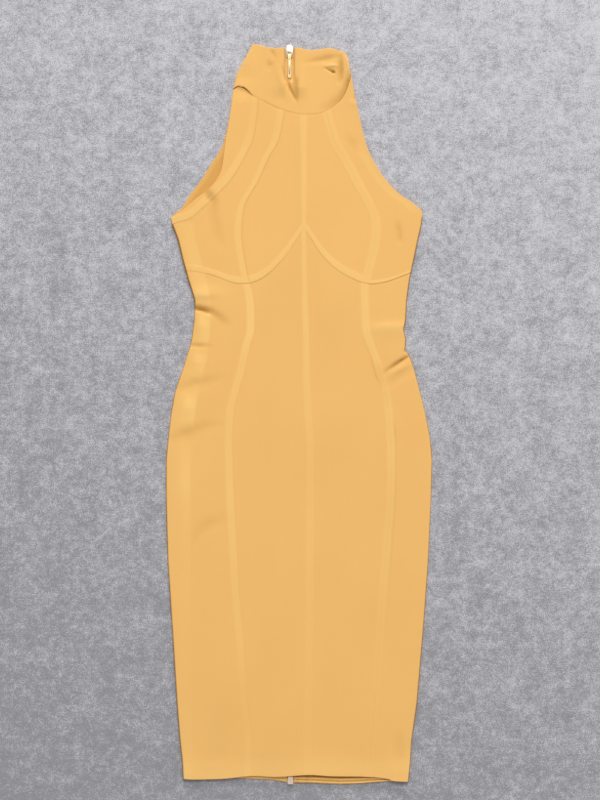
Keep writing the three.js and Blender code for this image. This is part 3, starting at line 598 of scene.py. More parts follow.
valley = {  # the hollow that the pull lies in
    "flat": 3.4,
    "flank": 9,
    "foot": 1034,
    "fade": 9,
    "depth": 4.4,
    "shoulder": 1.9,  # how far the cloth beside it swells
    "shoulderWidth": 13,
    "shoulderFrom": (1000, 1020),
    # painted shade on the valley's flanks
    "tint": 0.16,
    "paintedShadingFrom": (1046, 1064),
}
corner = {  # on the left, where the collar stands off the bust
    "x": -82,
    "lip": 1.1,
    "lipWidth": 13,
    "lipFade": (1012, 1036),
    "tuck": 1.6,
    "tuckWidth": 14,
    "tuckFade": (994, 1016),
}
valleyEnds = {  # and its narrow end
    "left wall": fold(
        (-24, 1046, 1.8, 2, -0.6, 0.08), (-20, 1035.5, 1.8, 2, -1.8, 0.3),
        (-15.5, 1024, 1.8, 2.2, -2.4, 0.45),
        (-11, 1013, 1.8, 2.2, -2.4, 0.52), (-7.5, 1005.5, 1.7, 1.9, -1.6, 0.4),
        (-5, 999, 1.6, 1.8, 0, 0),
    ),
    "left brow": fold((-32, 1046, 8, 5, 0.4, 0), (-23, 1022, 8, 5, 1.4, 0), (-15, 998, 8, 5, 0.2, 0)),
    "right facet": fold(
        (-2.4, 995, 2, 1.6, -0.4, 0.16), (-2.8, 1001, 3.6, 2.2, -1.2, 0.38),
        (-3.6, 1014, 5.6, 2.8, -1.4, 0.42),
        (-4.2, 1027, 6.6, 3.2, -1.2, 0.34), (-4.6, 1035, 6, 3.4, -0.2, 0.03),
    ),
    "right brow": fold((5, 1044, 5, 8, 0.4, 0), (5, 1018, 5, 8, 1.4, 0), (4, 996, 5, 8, 0.2, 0)),
}

# Painted shade along each kind of seam, which also sets how deep its groove sinks
seamShades = {
    "plain": table("x shade", (0, 0)),
    "long": table("x shade", (-200, 0.03), (200, 0.03)),
    "bust": table("x shade", (-200, 0.14), (20, 0.14), (60, 0.03), (200, 0.03)),
    "neck": table(
        "x shade",
        (-96, 0.3), (-66, 0.12), (-54, 0.1), (-48, 0.24), (-30, 0.2), (0, 0.13), (30, 0.15),
        (45, 0.2), (76, 0.4),
    ),
    "arch": table(
        "x shade",
        (-137, 0), (-132, 0.16), (-72, 0.19), (-30, 0.12), (-15, 0.03), (7, 0.04), (18, 0.14),
        (60, 0.12), (100, 0.22), (160, 0.32),
    ),
}

# Width of the painted shade line along each side, where the cloth turns under
edgeLines = table(
    "up left right",
    (0, 1.4, 1.8), (200, 1.3, 1.7), (350, 0.9, 0.9), (520, 0.8, 0.9), (600, 0.8, 0.8), (664, 1, 2.4),
    (694, 1, 2.4), (700, 2.6, 2.4), (740, 2.8, 2.4), (760, 2.8, 2.2), (826, 2.8, 2), (832, 0, 0),
)

# The left side seam has come round to the front. Painted light brightens the cloth left of it, most where
# it swells
sideSeam = table(
    "up x light",
    (20, -156, 0.14), (120, -157, 0.05), (250, -158, 0.1), (300, -158.5, 0.15), (400, -158.7, 0.2),
    (440, -158.7, 0.45), (485, -158, 0.3), (500, -157, 0), (520, -155, 0), (534, -153, 0.6),
    (562, -149.5, 0.65),
    (574, -147, 0.12), (592, -143, 0.1), (604, -140, 0.5), (626, -134, 0.45), (636, -134, 0.2),
    (641, -133, 0.1), (650, -131, 0.5),
    (686, -129.5, 0.6), (693, -129, 0.2), (708, -129, 0.36), (730, -133, 0.42), (770, -144, 0.4),
    (796, -151.3, 0.3),
    (818, -154.6, 0.25), (824, -155.5, 0),
)

edgeLights = {  # painted light: the hem and the right armhole are a little lighter
    "hem": 0.3,
    "hemFade": (26, 44),
    "armhole": 0.3,
}

hemLift = {  # where the front's hem stands off the back
    "middle": {"x": 52, "width": 55, "rise": 1.6},
    "right": {"from": 118, "to": 150, "rise": 3},
    "left": {"from": -160, "to": -130, "rise": 1.4},
    "fade": (8, 60),
}

zip_ = {
    "x": -14,
    "tapeBase": 2.1,
    "stack": 1.6,  # how far the zip lifts the front
    "flat": 16,
    "fade": 34,
}


def plateau(distance, flat, fade):
    return 1 - soft(distance, flat, flat + fade)


def folded(folds, x, up, quantity="rise"):
    total = np.zeros_like(x)
    for rows in folds.values():
        places = np.column_stack([rows[name] for name in ("x", "up", "left", "right", quantity)])
        nearest, here = np.full_like(x, np.inf), np.zeros_like(x)
        for start, end in zip(places, places[1:]):
            run = end - start
            length = math.hypot(run[0], run[1])
            along = np.clip(((x - start[0]) * run[0] + (up - start[1]) * run[1]) / length**2, 0, 1)
            distance = np.hypot(x - start[0] - run[0] * along, up - start[1] - run[1] * along)
            aside = (run[0] * (up - start[1]) - run[1] * (x - start[0])) / length
            leftShare = 0.5 + 0.5 * aside / np.maximum(distance, 1e-6)
            left, right, amount = (start[n] + run[n] * along for n in (2, 3, 4))
            width = right + (left - right) * leftShare
            here = np.where(distance < nearest, amount * np.exp(-((distance / width) ** 2)), here)
            nearest = np.minimum(nearest, distance)
        total += here
    return total


def outline(side, armhole, collar):
    up = np.concatenate([sideEdges["up"], armhole["up"][1:], collar["up"][1:]])
    return up, np.concatenate([sideEdges[side], armhole["x"][1:], collar["x"][1:]])


outlineLeft = outline("left", armholeBackLeft, collarLeft)
outlineRight = outline("right", armholeRight, collarRight)


def bell(value, middle, width):
    return np.exp(-(((value - middle) / width) ** 2))


def ripple(x, up):  # slow swells
    return 0.4 * np.sin(x / 31 + up / 57) * np.sin(up / 83 - x / 47) + 0.2 * np.sin(x / 19 - up / 27)


def frontHeight(x, up, folds=frontFolds):
    left, right = np.interp(up, *outlineLeft), np.interp(up, *outlineRight)
    across = np.minimum(1, np.abs(2 * (x - left) / (right - left) - 1))
    puff = np.interp(up, puffs["up"], puffs["rise"]) * (1 - 0.35 * across**4)
    rise = puff + folded(folds, x, up) + ripple(x, up) * (1 - across**4)
    middle, right, left = (hemLift[part] for part in ("middle", "right", "left"))
    lift = middle["rise"] * bell(x, middle["x"], middle["width"])
    lift = lift + right["rise"] * soft(x, right["from"], right["to"])
    lift = lift + left["rise"] * (1 - soft(x, left["from"], left["to"]))
    lift = lift * (1 - soft(up, *hemLift["fade"]))
    under = zip_["tapeBase"] + zip_["stack"] * plateau(np.abs(x - zip_["x"]), zip_["flat"], zip_["fade"])
    firmness = 6  # how abruptly the rise stops at the cloth below
    return under + cloth["wall"] + np.logaddexp(rise * firmness, 0) / firmness + lift


def insideValley(fromZip):
    return plateau(fromZip, valley["flat"], valley["flank"] - valley["flat"])


def collarHeight(x, up):
    fromZip = np.abs(x - zip_["x"])
    inside = insideValley(fromZip)
    reach = soft(up, valley["foot"] - valley["fade"], valley["foot"])
    swell = bell(fromZip, valley["flank"] + 3, valley["shoulderWidth"])
    swell *= soft(up, *valley["shoulderFrom"]) * (1 - inside)
    height = frontHeight(x, up, collarFolds) + valley["shoulder"] * swell - valley["depth"] * inside * reach
    height += folded(valleyEnds, x, up)
    lip = corner["lip"] * bell(x, corner["x"], corner["lipWidth"]) * (1 - soft(up, *corner["lipFade"]))
    least = zip_["tapeBase"] + zip_["stack"] + cloth["wall"] + 0.05
    return np.maximum(height + lip, least * plateau(fromZip, 18, 30))


# painted shade and highlights of the collar's folds, and painted shade on the valley's flanks
def collarPaintedShading(x, up):
    inside = insideValley(np.abs(x - zip_["x"]))
    flanks = 4 * inside * (1 - inside) * soft(up, valley["foot"], valley["foot"] + 8)
    flanks *= valley["tint"] * (0.3 + soft(up, *valley["paintedShadingFrom"]))
    return folded(collarFolds, x, up, "tint") + folded(valleyEnds, x, up, "tint") + flanks


def bodiceHeight(x, up):
    tuck = corner["tuck"] * bell(x, corner["x"], corner["tuckWidth"]) * soft(up, *corner["tuckFade"])
    return frontHeight(x, up) - tuck


# painted shade and highlights of the front's folds
def foldPaintedShading(x, up):
    return folded(frontFolds, x, up, "tint")


# painted shade and highlights of the folds, painted light beside the left side seam, along the hem and the
# right armhole, and painted shade lines along both sides
def bodicePaintedShading(x, up):
    tint = foldPaintedShading(x, up)
    seam, light = (np.interp(up, sideSeam["up"], sideSeam[name], right=0) for name in ("x", "light"))
    light *= (1 - soft(x, seam - 1.6, seam + 1.6)) * soft(x, np.interp(up, *outlineLeft) + 1, seam - 10)
    light += edgeLights["hem"] * (1 - soft(up, *edgeLights["hemFade"]))
    fromArmhole = np.interp(up, *outlineRight) - x
    alongArmhole = soft(up, 829, 850) * (1 - soft(up, 915, 940)) * (x > 0)
    beside = soft(fromArmhole, 3, 7) * (1 - soft(fromArmhole, 14, 18))
    light += edgeLights["armhole"] * beside * alongArmhole
    tint -= light * (1 - np.clip(3 * tint, 0, 1))
    # painted shade lines along both sides, where the cloth turns under
    for side, (heights, across) in {"left": outlineLeft, "right": outlineRight}.items():
        inward = np.abs(x - np.interp(up, heights, across))
        width = np.maximum(np.interp(up, edgeLines["up"], edgeLines[side]), 0.01)
        line = (1 - soft(inward, 0.3 * width, width)) * (width > 0.1)
        tint = tint * (1 - line) + 0.9 * line
    return tint


# Panels: nets of points between four edges, thickened to a wall

foldTurn = np.radians([-80, -50, -20, 5, 30, 50, 70, 90])
freeTurn = np.radians([0, 15, 30, 45, 60, 75, 90, 90])
seamStops = np.array([-0.04, 0.25, 0.5, 0.8, 1.15, 1.55, 2, 2.6])  # neighbours just reach over the seam
stripStops = np.array([-2.2, -1.1, 0, 1.1, 2.2])  # about the strip's own edge


def edgeShape(kind):  # of the stops beside an edge, from the edge inwards
    wall, radius = cloth["wall"], cloth["foldRadius"]
    shape = {name: np.zeros(8) for name in ("inset", "inner", "turned", "pinch", "near", "fold")}
    shape["turned"] += math.pi / 2
    if kind == "fold":
        shape["inset"] = radius * (1 - np.cos(foldTurn))
        shape["inner"] = radius - (radius - wall) * np.cos(foldTurn)
        shape["turned"] = foldTurn
        shape["fold"] += 1
    elif kind == "free":
        shape["inset"] = wall / 2 * (1 - np.cos(freeTurn))
        shape["inset"][-1] += 0.7
        shape["inner"] = shape["inset"]
        shape["pinch"] = 0.97 * (1 - np.sin(freeTurn))
    else:
        shape["inset"] = seamStops
        shape["inner"] = seamStops
        shape["near"] = 1 - soft(seamStops, 0, cloth["seamWidth"])
    return shape


def blended(first, second, share):  # shapes of an edge that changes its kind, one for each row
    share = np.asarray(share)[:, None]
    return {name: first[name] * (1 - share) + second[name] * share for name in first}


def stopsAlong(length, start, end, middle):  # distances from the start
    first, last = start[..., -1:], length[..., None] - end[..., -1:]
    between = first + (last - first) * middle
    return np.concatenate([start, between, length[..., None] - end[..., ::-1]], axis=-1)


def netPoint(edges, u, v):
    left, right, foot, head = (edges[name] for name in ("left", "right", "foot", "head"))
    u1, v1 = u[..., None], v[..., None]
    rows = foot(u) * (1 - v1) + head(u) * v1
    sides = left(v) * (1 - u1) + right(v) * u1
    corners = (foot(0.0) * (1 - u1) + foot(1.0) * u1) * (1 - v1)
    corners = corners + (head(0.0) * (1 - u1) + head(1.0) * u1) * v1
    return rows + sides - corners


def span(a, b):
    return np.linalg.norm(a - b, axis=-1)


def withStrip(stops, width):
    if not width:
        return stops
    return np.concatenate([stops, np.broadcast_to(width + stripStops, (*stops.shape[:-1], 5))], axis=-1)


def panelNet(edges, kinds, height, strips=None, cell=None, rowShares=None, turns=None, seams=None):
    strips = strips or {}
    cell = cell or cloth["cell"]
    shapes = {side: edgeShape(kind) for side, kind in kinds.items()}
    midHeight = span(edges["foot"](0.5), edges["head"](0.5))
    if rowShares is None:
        rowShares = np.linspace(0, 1, int(midHeight / cell) + 1)
    middleRows = rowShares[1:-1]
    footStops = withStrip(shapes["foot"]["inset"], strips.get("foot"))
    headStops = shapes["head"]["inset"]
    rowMiddles = stopsAlong(np.array(midHeight), footStops, headStops, middleRows) / midHeight

    for side, (above, start, end) in (turns or {}).items():  # an edge that is another kind higher up
        shapes[side] = blended(shapes[side], edgeShape(above), soft(rowMiddles, start, end))
    size = (len(rowMiddles), 8)
    insets = {side: np.broadcast_to(shapes[side]["inset"], size) for side in ("left", "right")}
    widths = span(edges["left"](rowMiddles), edges["right"](rowMiddles))
    starts = withStrip(insets["left"], strips.get("left"))
    ends = withStrip(insets["right"], strips.get("right"))
    shrink = np.minimum(1, 0.8 * widths / (starts[:, -1] + ends[:, -1] + 1))[:, None]
    middle = np.linspace(0, 1, max(3, int(widths.max() / cell)) + 1)[1:-1]
    across = stopsAlong(widths, starts * shrink, ends * shrink, middle)

    innerAcross = across.copy()
    innerAcross[:, :8] = shapes["left"]["inner"] * shrink
    innerAcross[:, -8:] = widths[:, None] - (shapes["right"]["inner"] * shrink)[:, ::-1]
    midShares = across[len(across) // 2] / widths[len(across) // 2]
    heights = span(edges["foot"](midShares), edges["head"](midShares))
    shrinkUp = np.minimum(1, 0.8 * heights / (footStops[-1] + headStops[-1] + 1))[:, None]
    upward = stopsAlong(heights, footStops * shrinkUp, headStops * shrinkUp, middleRows).T
    u, v = across / widths[:, None], upward / heights

    atFold = {side: np.broadcast_to(shapes[side]["fold"], (len(v), 8))[:, 0] for side in ("left", "right")}
    reach = cloth["foldRadius"] / widths
    topU = np.clip(u, (atFold["left"] * reach)[:, None], 1 - (atFold["right"] * reach)[:, None])
    topSpot = netPoint(edges, topU, v)
    top = height(topSpot[..., 0], topSpot[..., 1])
    shape = edgeFields(shapes, top.shape, seams or {}, topSpot[..., 0])
    strip = stripShare(strips, across, widths, upward)
    outer = heightened(netPoint(edges, u, v), top, shape["turned"], 0)
    outer[..., 2] += strip * cloth["stripRise"] * soft(shape["turned"], 0.8, 1.4)
    innerSpot = netPoint(edges, innerAcross / widths[:, None], v)
    inner = heightened(innerSpot, top, shape["turned"], cloth["wall"])
    pinch, groove = shape["pinch"][..., None] / 2, shape["seam"][..., None] * cloth["seamGroove"]
    toInner = inner - outer
    net = {"outer": outer + toInner * (pinch + groove), "inner": inner - toInner * pinch}
    return {**net, "strip": strip, "seam": shape["seam"], "pinch": pinch[..., 0]}


def heightened(spot, top, turned, wall):
    z = top * (1 + np.sin(turned)) / 2 - wall * np.sin(turned)
    return np.concatenate([spot, z[..., None]], axis=-1)


def beside(side, values, size, rest):  # a field with values at the stops beside one edge
    field = np.full(size, float(rest))
    if side == "left":
        field[:, :8] = values
    elif side == "right":
        field[:, -8:] = np.broadcast_to(values, (size[0], 8))[:, ::-1]
    elif side == "foot":
        field[:8] = values[:, None]
    else:
        field[-8:] = values[::-1, None]
    return field


def edgeFields(shapes, size, seams, x):  # how every point is turned, pinched and sunk by the edges
    turned = [beside(side, shapes[side]["turned"], size, math.pi / 2) for side in ("left", "right")]
    pinch = [beside(side, shape["pinch"], size, 0) for side, shape in shapes.items()]
    seam = []
    for side, shape in shapes.items():
        rows = seamShades[seams.get(side, "plain")]
        seam.append(beside(side, shape["near"], size, 0) * np.interp(x, rows["x"], rows["shade"]))
    return {"turned": np.minimum(*turned), "pinch": np.max(pinch, axis=0), "seam": np.max(seam, axis=0)}


def stripShare(strips, across, widths, upward):
    share = np.zeros((len(upward), across.shape[1]))
    for side, width in strips.items():
        distance = {"left": across, "right": widths[:, None] - across, "foot": upward}[side]
        edge = cloth["stripEdge"]
        share = np.maximum(share, 1 - soft(distance, width - edge, width + edge))
    return share


def wallMesh(name, net):
    rows, columns = net["strip"].shape
    slab = bmesh.new()
    bmesh.ops.create_grid(slab, x_segments=columns - 1, y_segments=rows - 1, size=0.5)
    bmesh.ops.solidify(slab, geom=slab.faces[:], thickness=1)
    mesh = builtMesh(name, slab)
    place = np.empty(len(mesh.vertices) * 3)
    mesh.vertices.foreach_get("co", place)
    place = place.reshape(-1, 3)
    i = np.rint((place[:, 0] + 0.5) * (columns - 1)).astype(int)
    k = np.rint((place[:, 1] + 0.5) * (rows - 1)).astype(int)
    isOuter = place[:, 2] > -0.5
    points = np.where(isOuter[:, None], net["outer"][k, i], net["inner"][k, i])
    points[:, 1] -= middleUp
    mesh.vertices.foreach_set("co", (points * mm).ravel())
    layUv(mesh, net, k, i)
    # negative painted shading goes to strip as painted highlight; positive shading and the seams' shade go
    # to hollow as painted shade
    tint = net["tint"][k, i]
    layNumbers(mesh, "strip", np.clip(net["strip"][k, i] - np.minimum(tint, 0), 0, 1))
    layNumbers(mesh, "hollow", np.clip(tint + net["seam"][k, i], 0, 1))
    layNumbers(mesh, "reverse", np.where(isOuter, net["reverse"][k, i], 1 - net["reverse"][k, i]))
    mesh.update()
    mesh.shade_smooth()
    mesh.set_sharp_from_angle(angle=math.radians(cloth["sharpFrom"]))
    return mesh


def layNumbers(mesh, name, values):
    layer = mesh.attributes.new(name, "FLOAT", "POINT")
    layer.data.foreach_set("value", np.asarray(values, np.float32))


def layUv(mesh, net, k, i):  # metres along the cloth, measured from the panel's middle
    outer = net["outer"]
    across = np.cumsum(np.linalg.norm(np.diff(outer, axis=1), axis=-1), axis=1)
    across = np.pad(across, ((0, 0), (1, 0)))
    along = np.cumsum(np.linalg.norm(np.diff(outer, axis=0), axis=-1), axis=0)
    along = np.pad(along, ((1, 0), (0, 0)))
    middleRow, middleColumn = outer.shape[0] // 2, outer.shape[1] // 2
    across += (outer[:, middleColumn, 0] - across[:, middleColumn])[:, None]
    along += (outer[middleRow, :, 1] - along[middleRow])[None, :]
    uv = np.stack([across[k, i], along[k, i]], axis=-1) * mm
    corners = np.empty(len(mesh.loops), int)
    mesh.loops.foreach_get("vertex_index", corners)
    layer = mesh.uv_layers.new(name="cloth")
    layer.data.foreach_set("uv", uv[corners].ravel().astype(np.float32))


def cutSize(net):  # width, length and area of the flat cut, in metres
    outer = net["outer"]
    width = np.linalg.norm(np.diff(outer, axis=1), axis=-1).sum(1).max()
    length = np.linalg.norm(np.diff(outer, axis=0), axis=-1).sum(0).max()
    a, b = outer[1:, 1:] - outer[:-1, :-1], outer[:-1, 1:] - outer[1:, :-1]
    area = np.linalg.norm(np.cross(a, b), axis=-1).sum() / 2
    return (width * mm, length * mm), area * mm * mm


def nodeOf(name):  # bustSideLeft stands for bust_side_left
    return "".join("_" + letter.lower() if letter.isupper() else letter for letter in name)


def show(name, mesh, material, body="dress", node=None):
    piece = bpy.data.objects.new(name, mesh)
    bpy.context.scene.collection.objects.link(piece)
    mesh.materials.append(material)
    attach(piece, body)
    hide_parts(node or nodeOf(name))
    return piece


def builtMesh(name, build, sharpFrom=None):  # a bmesh made a mesh, smooth up to an angle in degrees
    mesh = bpy.data.meshes.new(name)
    build.to_mesh(mesh)
    build.free()
    if sharpFrom:
        mesh.shade_smooth()
        mesh.set_sharp_from_angle(angle=math.radians(sharpFrom))
    return mesh


def evenly(number):
    return lambda x, up: np.full_like(x, float(number))


def sew(name, net, tint=evenly(0), reverse=evenly(0), finish="cloth"):
    x, up = net["outer"][..., 0], net["outer"][..., 1]
    net["strip"] = net["strip"] * toneAt(x, up)
    net["tint"] = tint(x, up)
    net["reverse"] = reverse(x, up)
    piece = show(name, wallMesh(name, net), finishes[finish])
    flat, area = cutSize(net)
    print(f"{name}: cut {flat[0] / mm:.0f} by {flat[1] / mm:.0f} mm, {area:.4f} m2")


# Curves that the panels share

sideLeft, sideRight = through(column(sideEdges, "left")), through(column(sideEdges, "right"))
neck = through(spots(neckSeam))
archLeftEdge, archRightEdge = through(spots(archLeft)), through(spots(archRight))
front, armRight = through(spots(hemFront)), through(spots(armholeRight))


def seamTo(rows, end):
    return through(np.vstack([spots(rows)[:-1], end]))


neckShare = {
    "band": shareAt(neck, bandEdge["x"][-1]),
    "left": shareAt(neck, bustSeamLeft["x"][-1]),
    "centre": shareAt(neck, bustSeamCentre["x"][-1]),
    "right": shareAt(neck, bustSeamRight["x"][-1]),
}
archShare = {
    "left": shareAt(archLeftEdge, bustSeamLeft["x"][0]),
    "right": shareAt(archRightEdge, bustSeamRight["x"][0]),
}
seamLeft = seamTo(bustSeamLeft, neck(neckShare["left"]))
seamCentre = seamTo(bustSeamCentre, neck(neckShare["centre"]))
seamRight = seamTo(bustSeamRight, neck(neckShare["right"]))
band = seamTo(bandEdge, neck(neckShare["band"]))


def sideStretch(edge, fromUp, toUp):
    return stretch(edge, shareAt(edge, fromUp, 1), shareAt(edge, toUp, 1))


# How much lighter the seam strips are than the cloth, from the hem to the collar
stripTone = table(
    "up left centre right",
    (0, 0.2, 0.1, 0.02), (60, 0.14, 0.08, 0.02), (90, 0.06, 0.08, 0.02), (150, 0.12, 0.12, 0.08),
    (212, 0.32, 0.16, 0.14),
    (260, 0.36, 0.2, 0.2), (328, 0.4, 0.26, 0.28), (416, 0.5, 0.22, 0.25), (489, 0.45, 0.2, 0.5),
    (518, 0.36, 0.24, 0.36),
    (548, 0.36, 0.3, 0.44), (577, 0.42, 0.36, 0.22), (592, 0.44, 0.4, 0.02),
    (608, 0.4, 0.42, 0.04), (621, 0.4, 0.44, 0.5),
    (665, 0.8, 0.5, 0.52), (709, 0.7, 0.5, 0.6), (745, 0.46, 0.46, 0.44), (840, 0.42, 0.46, 0.34),
    (884, 0.42, 0.44, 0.42),
    (928, 0.42, 0.44, 0.2), (962, 0.16, 0.42, 0.16), (1083, 0.16, 0.4, 0.16),
)


def toneAt(x, up):
    parts = ("left", "centre", "right")
    left, centre, right = (np.interp(up, stripTone["up"], stripTone[part]) for part in parts)
    beyondSideSeam = (1 - soft(x, -142, -134)) * (1 - soft(up, 790, 810))
    tone = left + (centre - left) * soft(x, -45, -15) + (right - centre) * soft(x, 35, 65)
    return tone * (1 - beyondSideSeam)


def addBust():
    archFootLeft, archFootRight = archLeftEdge(0.0), archRightEdge(1.0)
    underarm = 0.32
    leftEdge = joined(sideStretch(sideLeft, archFootLeft[1], band(0.0)[1]), band, underarm)
    rightEdge = joined(sideStretch(sideRight, archFootRight[1], armRight(0.0)[1]), armRight, underarm)
    strip, half = cloth["stripWidth"], cloth["stripWidth"] / 2
    panels = {
        "CentreLeft": {
            "edges": {
                "left": seamLeft,
                "right": seamCentre,
                "foot": stretch(archLeftEdge, archShare["left"], 1),
                "head": stretch(neck, neckShare["left"], neckShare["centre"]),
            },
            "strips": {"right": half, "foot": strip},
            "seams": {"left": "bust"},
        },
        "CentreRight": {
            "edges": {
                "left": seamCentre,
                "right": seamRight,
                "foot": stretch(archRightEdge, 0, archShare["right"]),
                "head": stretch(neck, neckShare["centre"], neckShare["right"]),
            },
            "strips": {"left": half, "right": cloth["bustInner"], "foot": strip},
            "seams": {"right": "bust"},
        },
        "SideLeft": {
            "edges": {
                "left": leftEdge,
                "right": seamLeft,
                "foot": stretch(archLeftEdge, 0, archShare["left"]),
                "head": stretch(neck, neckShare["band"], neckShare["left"]),
            },
            "strips": {"right": strip, "foot": strip},
            "seams": {"left": "bust", "right": "bust"},
            "kinds": {"left": "fold"},
            "turns": {"left": ("seam", underarm - 0.03, underarm)},
        },
        "SideRight": {
            "edges": {
                "left": seamRight,
                "right": rightEdge,
                "foot": stretch(archRightEdge, archShare["right"], 1),
                "head": stretch(neck, neckShare["right"], 1),
            },
            "strips": {"left": cloth["bustOuter"], "foot": half},
            "seams": {"left": "bust"},
            "kinds": {"right": "fold"},
            "turns": {"right": ("free", underarm - 0.02, underarm + 0.03)},
        },
    }
    for name, panel in panels.items():
        kinds = {"left": "seam", "right": "seam", "foot": "seam", "head": "seam", **panel.get("kinds", {})}
        seams = {"foot": "arch", "head": "neck", **panel["seams"]}
        strips, turns = panel["strips"], panel.get("turns")
        net = panelNet(panel["edges"], kinds, bodiceHeight, strips, turns=turns, seams=seams)
        sew("bust" + name, net, bodicePaintedShading)


def addArmholeBand():
    armhole = through(spots(armholeFrontLeft))
    edges = {
        "left": armhole,
        "right": band,
        "foot": straight(armhole(0.0), band(0.0)),
        "head": stretch(neck, 0, neckShare["band"]),
    }
    kinds = {"left": "free", "right": "seam", "foot": "free", "head": "seam"}
    seams = {"right": "bust", "head": "neck"}
    strips = {"right": cloth["stripWidth"]}
    net = panelNet(edges, kinds, bodiceHeight, strips, cell=cloth["bandCell"], seams=seams)
    sew("armholeBandLeft", net, foldPaintedShading)


def skirtSeam(name, start, end):
    return through(np.vstack([end, column(skirtSeams, name), start]))


def addSkirt():
    footShare = {
        "left": shareAt(front, -70),
        "centre": shareAt(front, 13),
        "right": shareAt(front, 101),
    }
    left = skirtSeam("left", archLeftEdge(archShare["left"]), front(footShare["left"]))
    centre = skirtSeam("centre", archLeftEdge(1.0), front(footShare["centre"]))
    right = skirtSeam("right", archRightEdge(archShare["right"]), front(footShare["right"]))
    rowShares = np.concatenate([np.linspace(0, 0.62, 92), np.linspace(0.62, 1, 122)[1:]])
    widths = cloth["skirtStrips"]
    panels = {
        "SideLeft": (
            sideStretch(sideLeft, front(0.0)[1], archLeftEdge(0.0)[1]), left,
            stretch(front, 0, footShare["left"]), stretch(archLeftEdge, 0, archShare["left"]),
            {"right": widths["left"]}, {"left": "fold"},
        ),
        "CentreLeft": (
            left, centre,
            stretch(front, footShare["left"], footShare["centre"]),
            stretch(archLeftEdge, archShare["left"], 1),
            {"right": widths["leftOfCentre"]}, {},
        ),
        "CentreRight": (
            centre, right,
            stretch(front, footShare["centre"], footShare["right"]),
            stretch(archRightEdge, 0, archShare["right"]),
            {"left": widths["rightOfCentre"], "right": widths["rightInner"]}, {},
        ),
        "SideRight": (
            right, sideStretch(sideRight, front(1.0)[1], archRightEdge(1.0)[1]),
            stretch(front, footShare["right"], 1), stretch(archRightEdge, archShare["right"], 1),
            {"left": widths["right"]}, {"right": "fold"},
        ),
    }
    longSeam = {"SideLeft": "right", "CentreLeft": "left", "CentreRight": "right", "SideRight": "left"}
    for name, (leftEdge, rightEdge, foot, head, strips, sideFold) in panels.items():
        edges = {"left": leftEdge, "right": rightEdge, "foot": foot, "head": head}
        kinds = {"left": "seam", "right": "seam", "foot": "free", "head": "seam", **sideFold}
        seams = {"head": "arch", longSeam[name]: "long"}
        net = panelNet(edges, kinds, bodiceHeight, strips, rowShares=rowShares, seams=seams)
        sew("skirt" + name, net, bodicePaintedShading)


collar = {
    "cell": 1.15,
    "notchHalf": 3.6,
    "notchFade": 3,
    "notchFoot": 1060,
    "gapSide": 0.8,  # width of the gap under its turned corner, at the side and inwards
    "gapInner": 1.5,
}


def addCollar():
    top = through(spots(collarTop))

    def dipped(t):
        point = top(t)
        dip = plateau(np.abs(point[..., 0] - zip_["x"]), collar["notchHalf"], collar["notchFade"])
        point[..., 1] -= (point[..., 1] - collar["notchFoot"]) * dip
        return point

    def gap(t):  # under the turned corner, in two stretches
        side = collar["gapSide"] * soft(t, 0, 0.01) * (1 - soft(t, 0.036, 0.056))
        return side + collar["gapInner"] * soft(t, 0.058, 0.074) * (1 - soft(t, 0.09, 0.17))

    edges = {
        "left": through(spots(collarLeft)),
        "right": through(spots(collarRight)),
        "foot": movedAside(neck, gap),
        "head": dipped,
    }
    kinds = {"left": "fold", "right": "fold", "foot": "seam", "head": "free"}
    net = panelNet(edges, kinds, collarHeight, cell=collar["cell"], seams={"foot": "neck"})
    sew("collarFront", net, collarPaintedShading)


# The back, flat on its underside, with the hem that shows below the front

back = {
    "slit": 6.4,  # from the zip's middle to the edge of each half
    "slitFootLeft": 3.1,
    "cell": 3.2,
    "collarCell": 2.5,
    # rows along the hem: ridges with painted highlights, grooves and the gap under the front's edge with
    # painted shade
    "hemRows": table(
        "from rise width tint",
        (0, 0, 0.8, 0.6), (2.6, 1.6, 1.1, -1), (4.9, -0.4, 1, 0.6), (7.1, 1.2, 1.1, -0.7),
        (10.8, -0.4, 2, 0.9),
    ),
    "hemTurn": 18,  # the hem's turning shows the right side of the cloth
    "puckerX": (-7, 14),
    "puckerPitch": 3.1,
}


def aboveHem(x, up):
    return up - np.interp(x, hemBack["x"], hemBack["up"])


def hemRows(x, up, quantity):
    rows, away = back["hemRows"], aboveHem(x, up)
    total = np.zeros_like(x)
    for start, width, amount in zip(rows["from"], rows["width"], rows[quantity]):
        total += amount * bell(away, start, width)
    return total * soft(x, -40, 2)


def pucker(x, up):
    first, last = back["puckerX"]
    inside = soft(x, first, first + 3) * (1 - soft(x, last - 3, last)) * (1 - soft(aboveHem(x, up), 10, 20))
    return inside * np.sin(2 * math.pi * x / back["puckerPitch"])


def backHeight(x, up):
    return cloth["wall"] + hemRows(x, up, "rise") + 0.45 * np.abs(pucker(x, up))


# painted shade in the hem's grooves, the pucker's troughs and inside the left armhole, and a painted
# highlight along the armhole's rim
def backPaintedShading(x, up):
    inArmhole = soft(x - np.interp(up, *outlineLeft), 1, 9) * soft(up, 826, 840) * (1 - soft(up, 925, 945))
    rim = inArmhole * (1 - inArmhole)
    tint = hemRows(x, up, "tint") + 0.3 * np.maximum(-pucker(x, up), 0)
    return tint + 0.18 * inArmhole * (x < 0) - 0.6 * rim


def backReverse(x, up):
    return soft(aboveHem(x, up), back["hemTurn"] - 2, back["hemTurn"])


def insideFold(edge, sign):  # the back's sides lie inside the folds of the front
    return movedAside(edge, lambda t: np.full(np.shape(t), sign * (cloth["foldRadius"] + 0.1)))


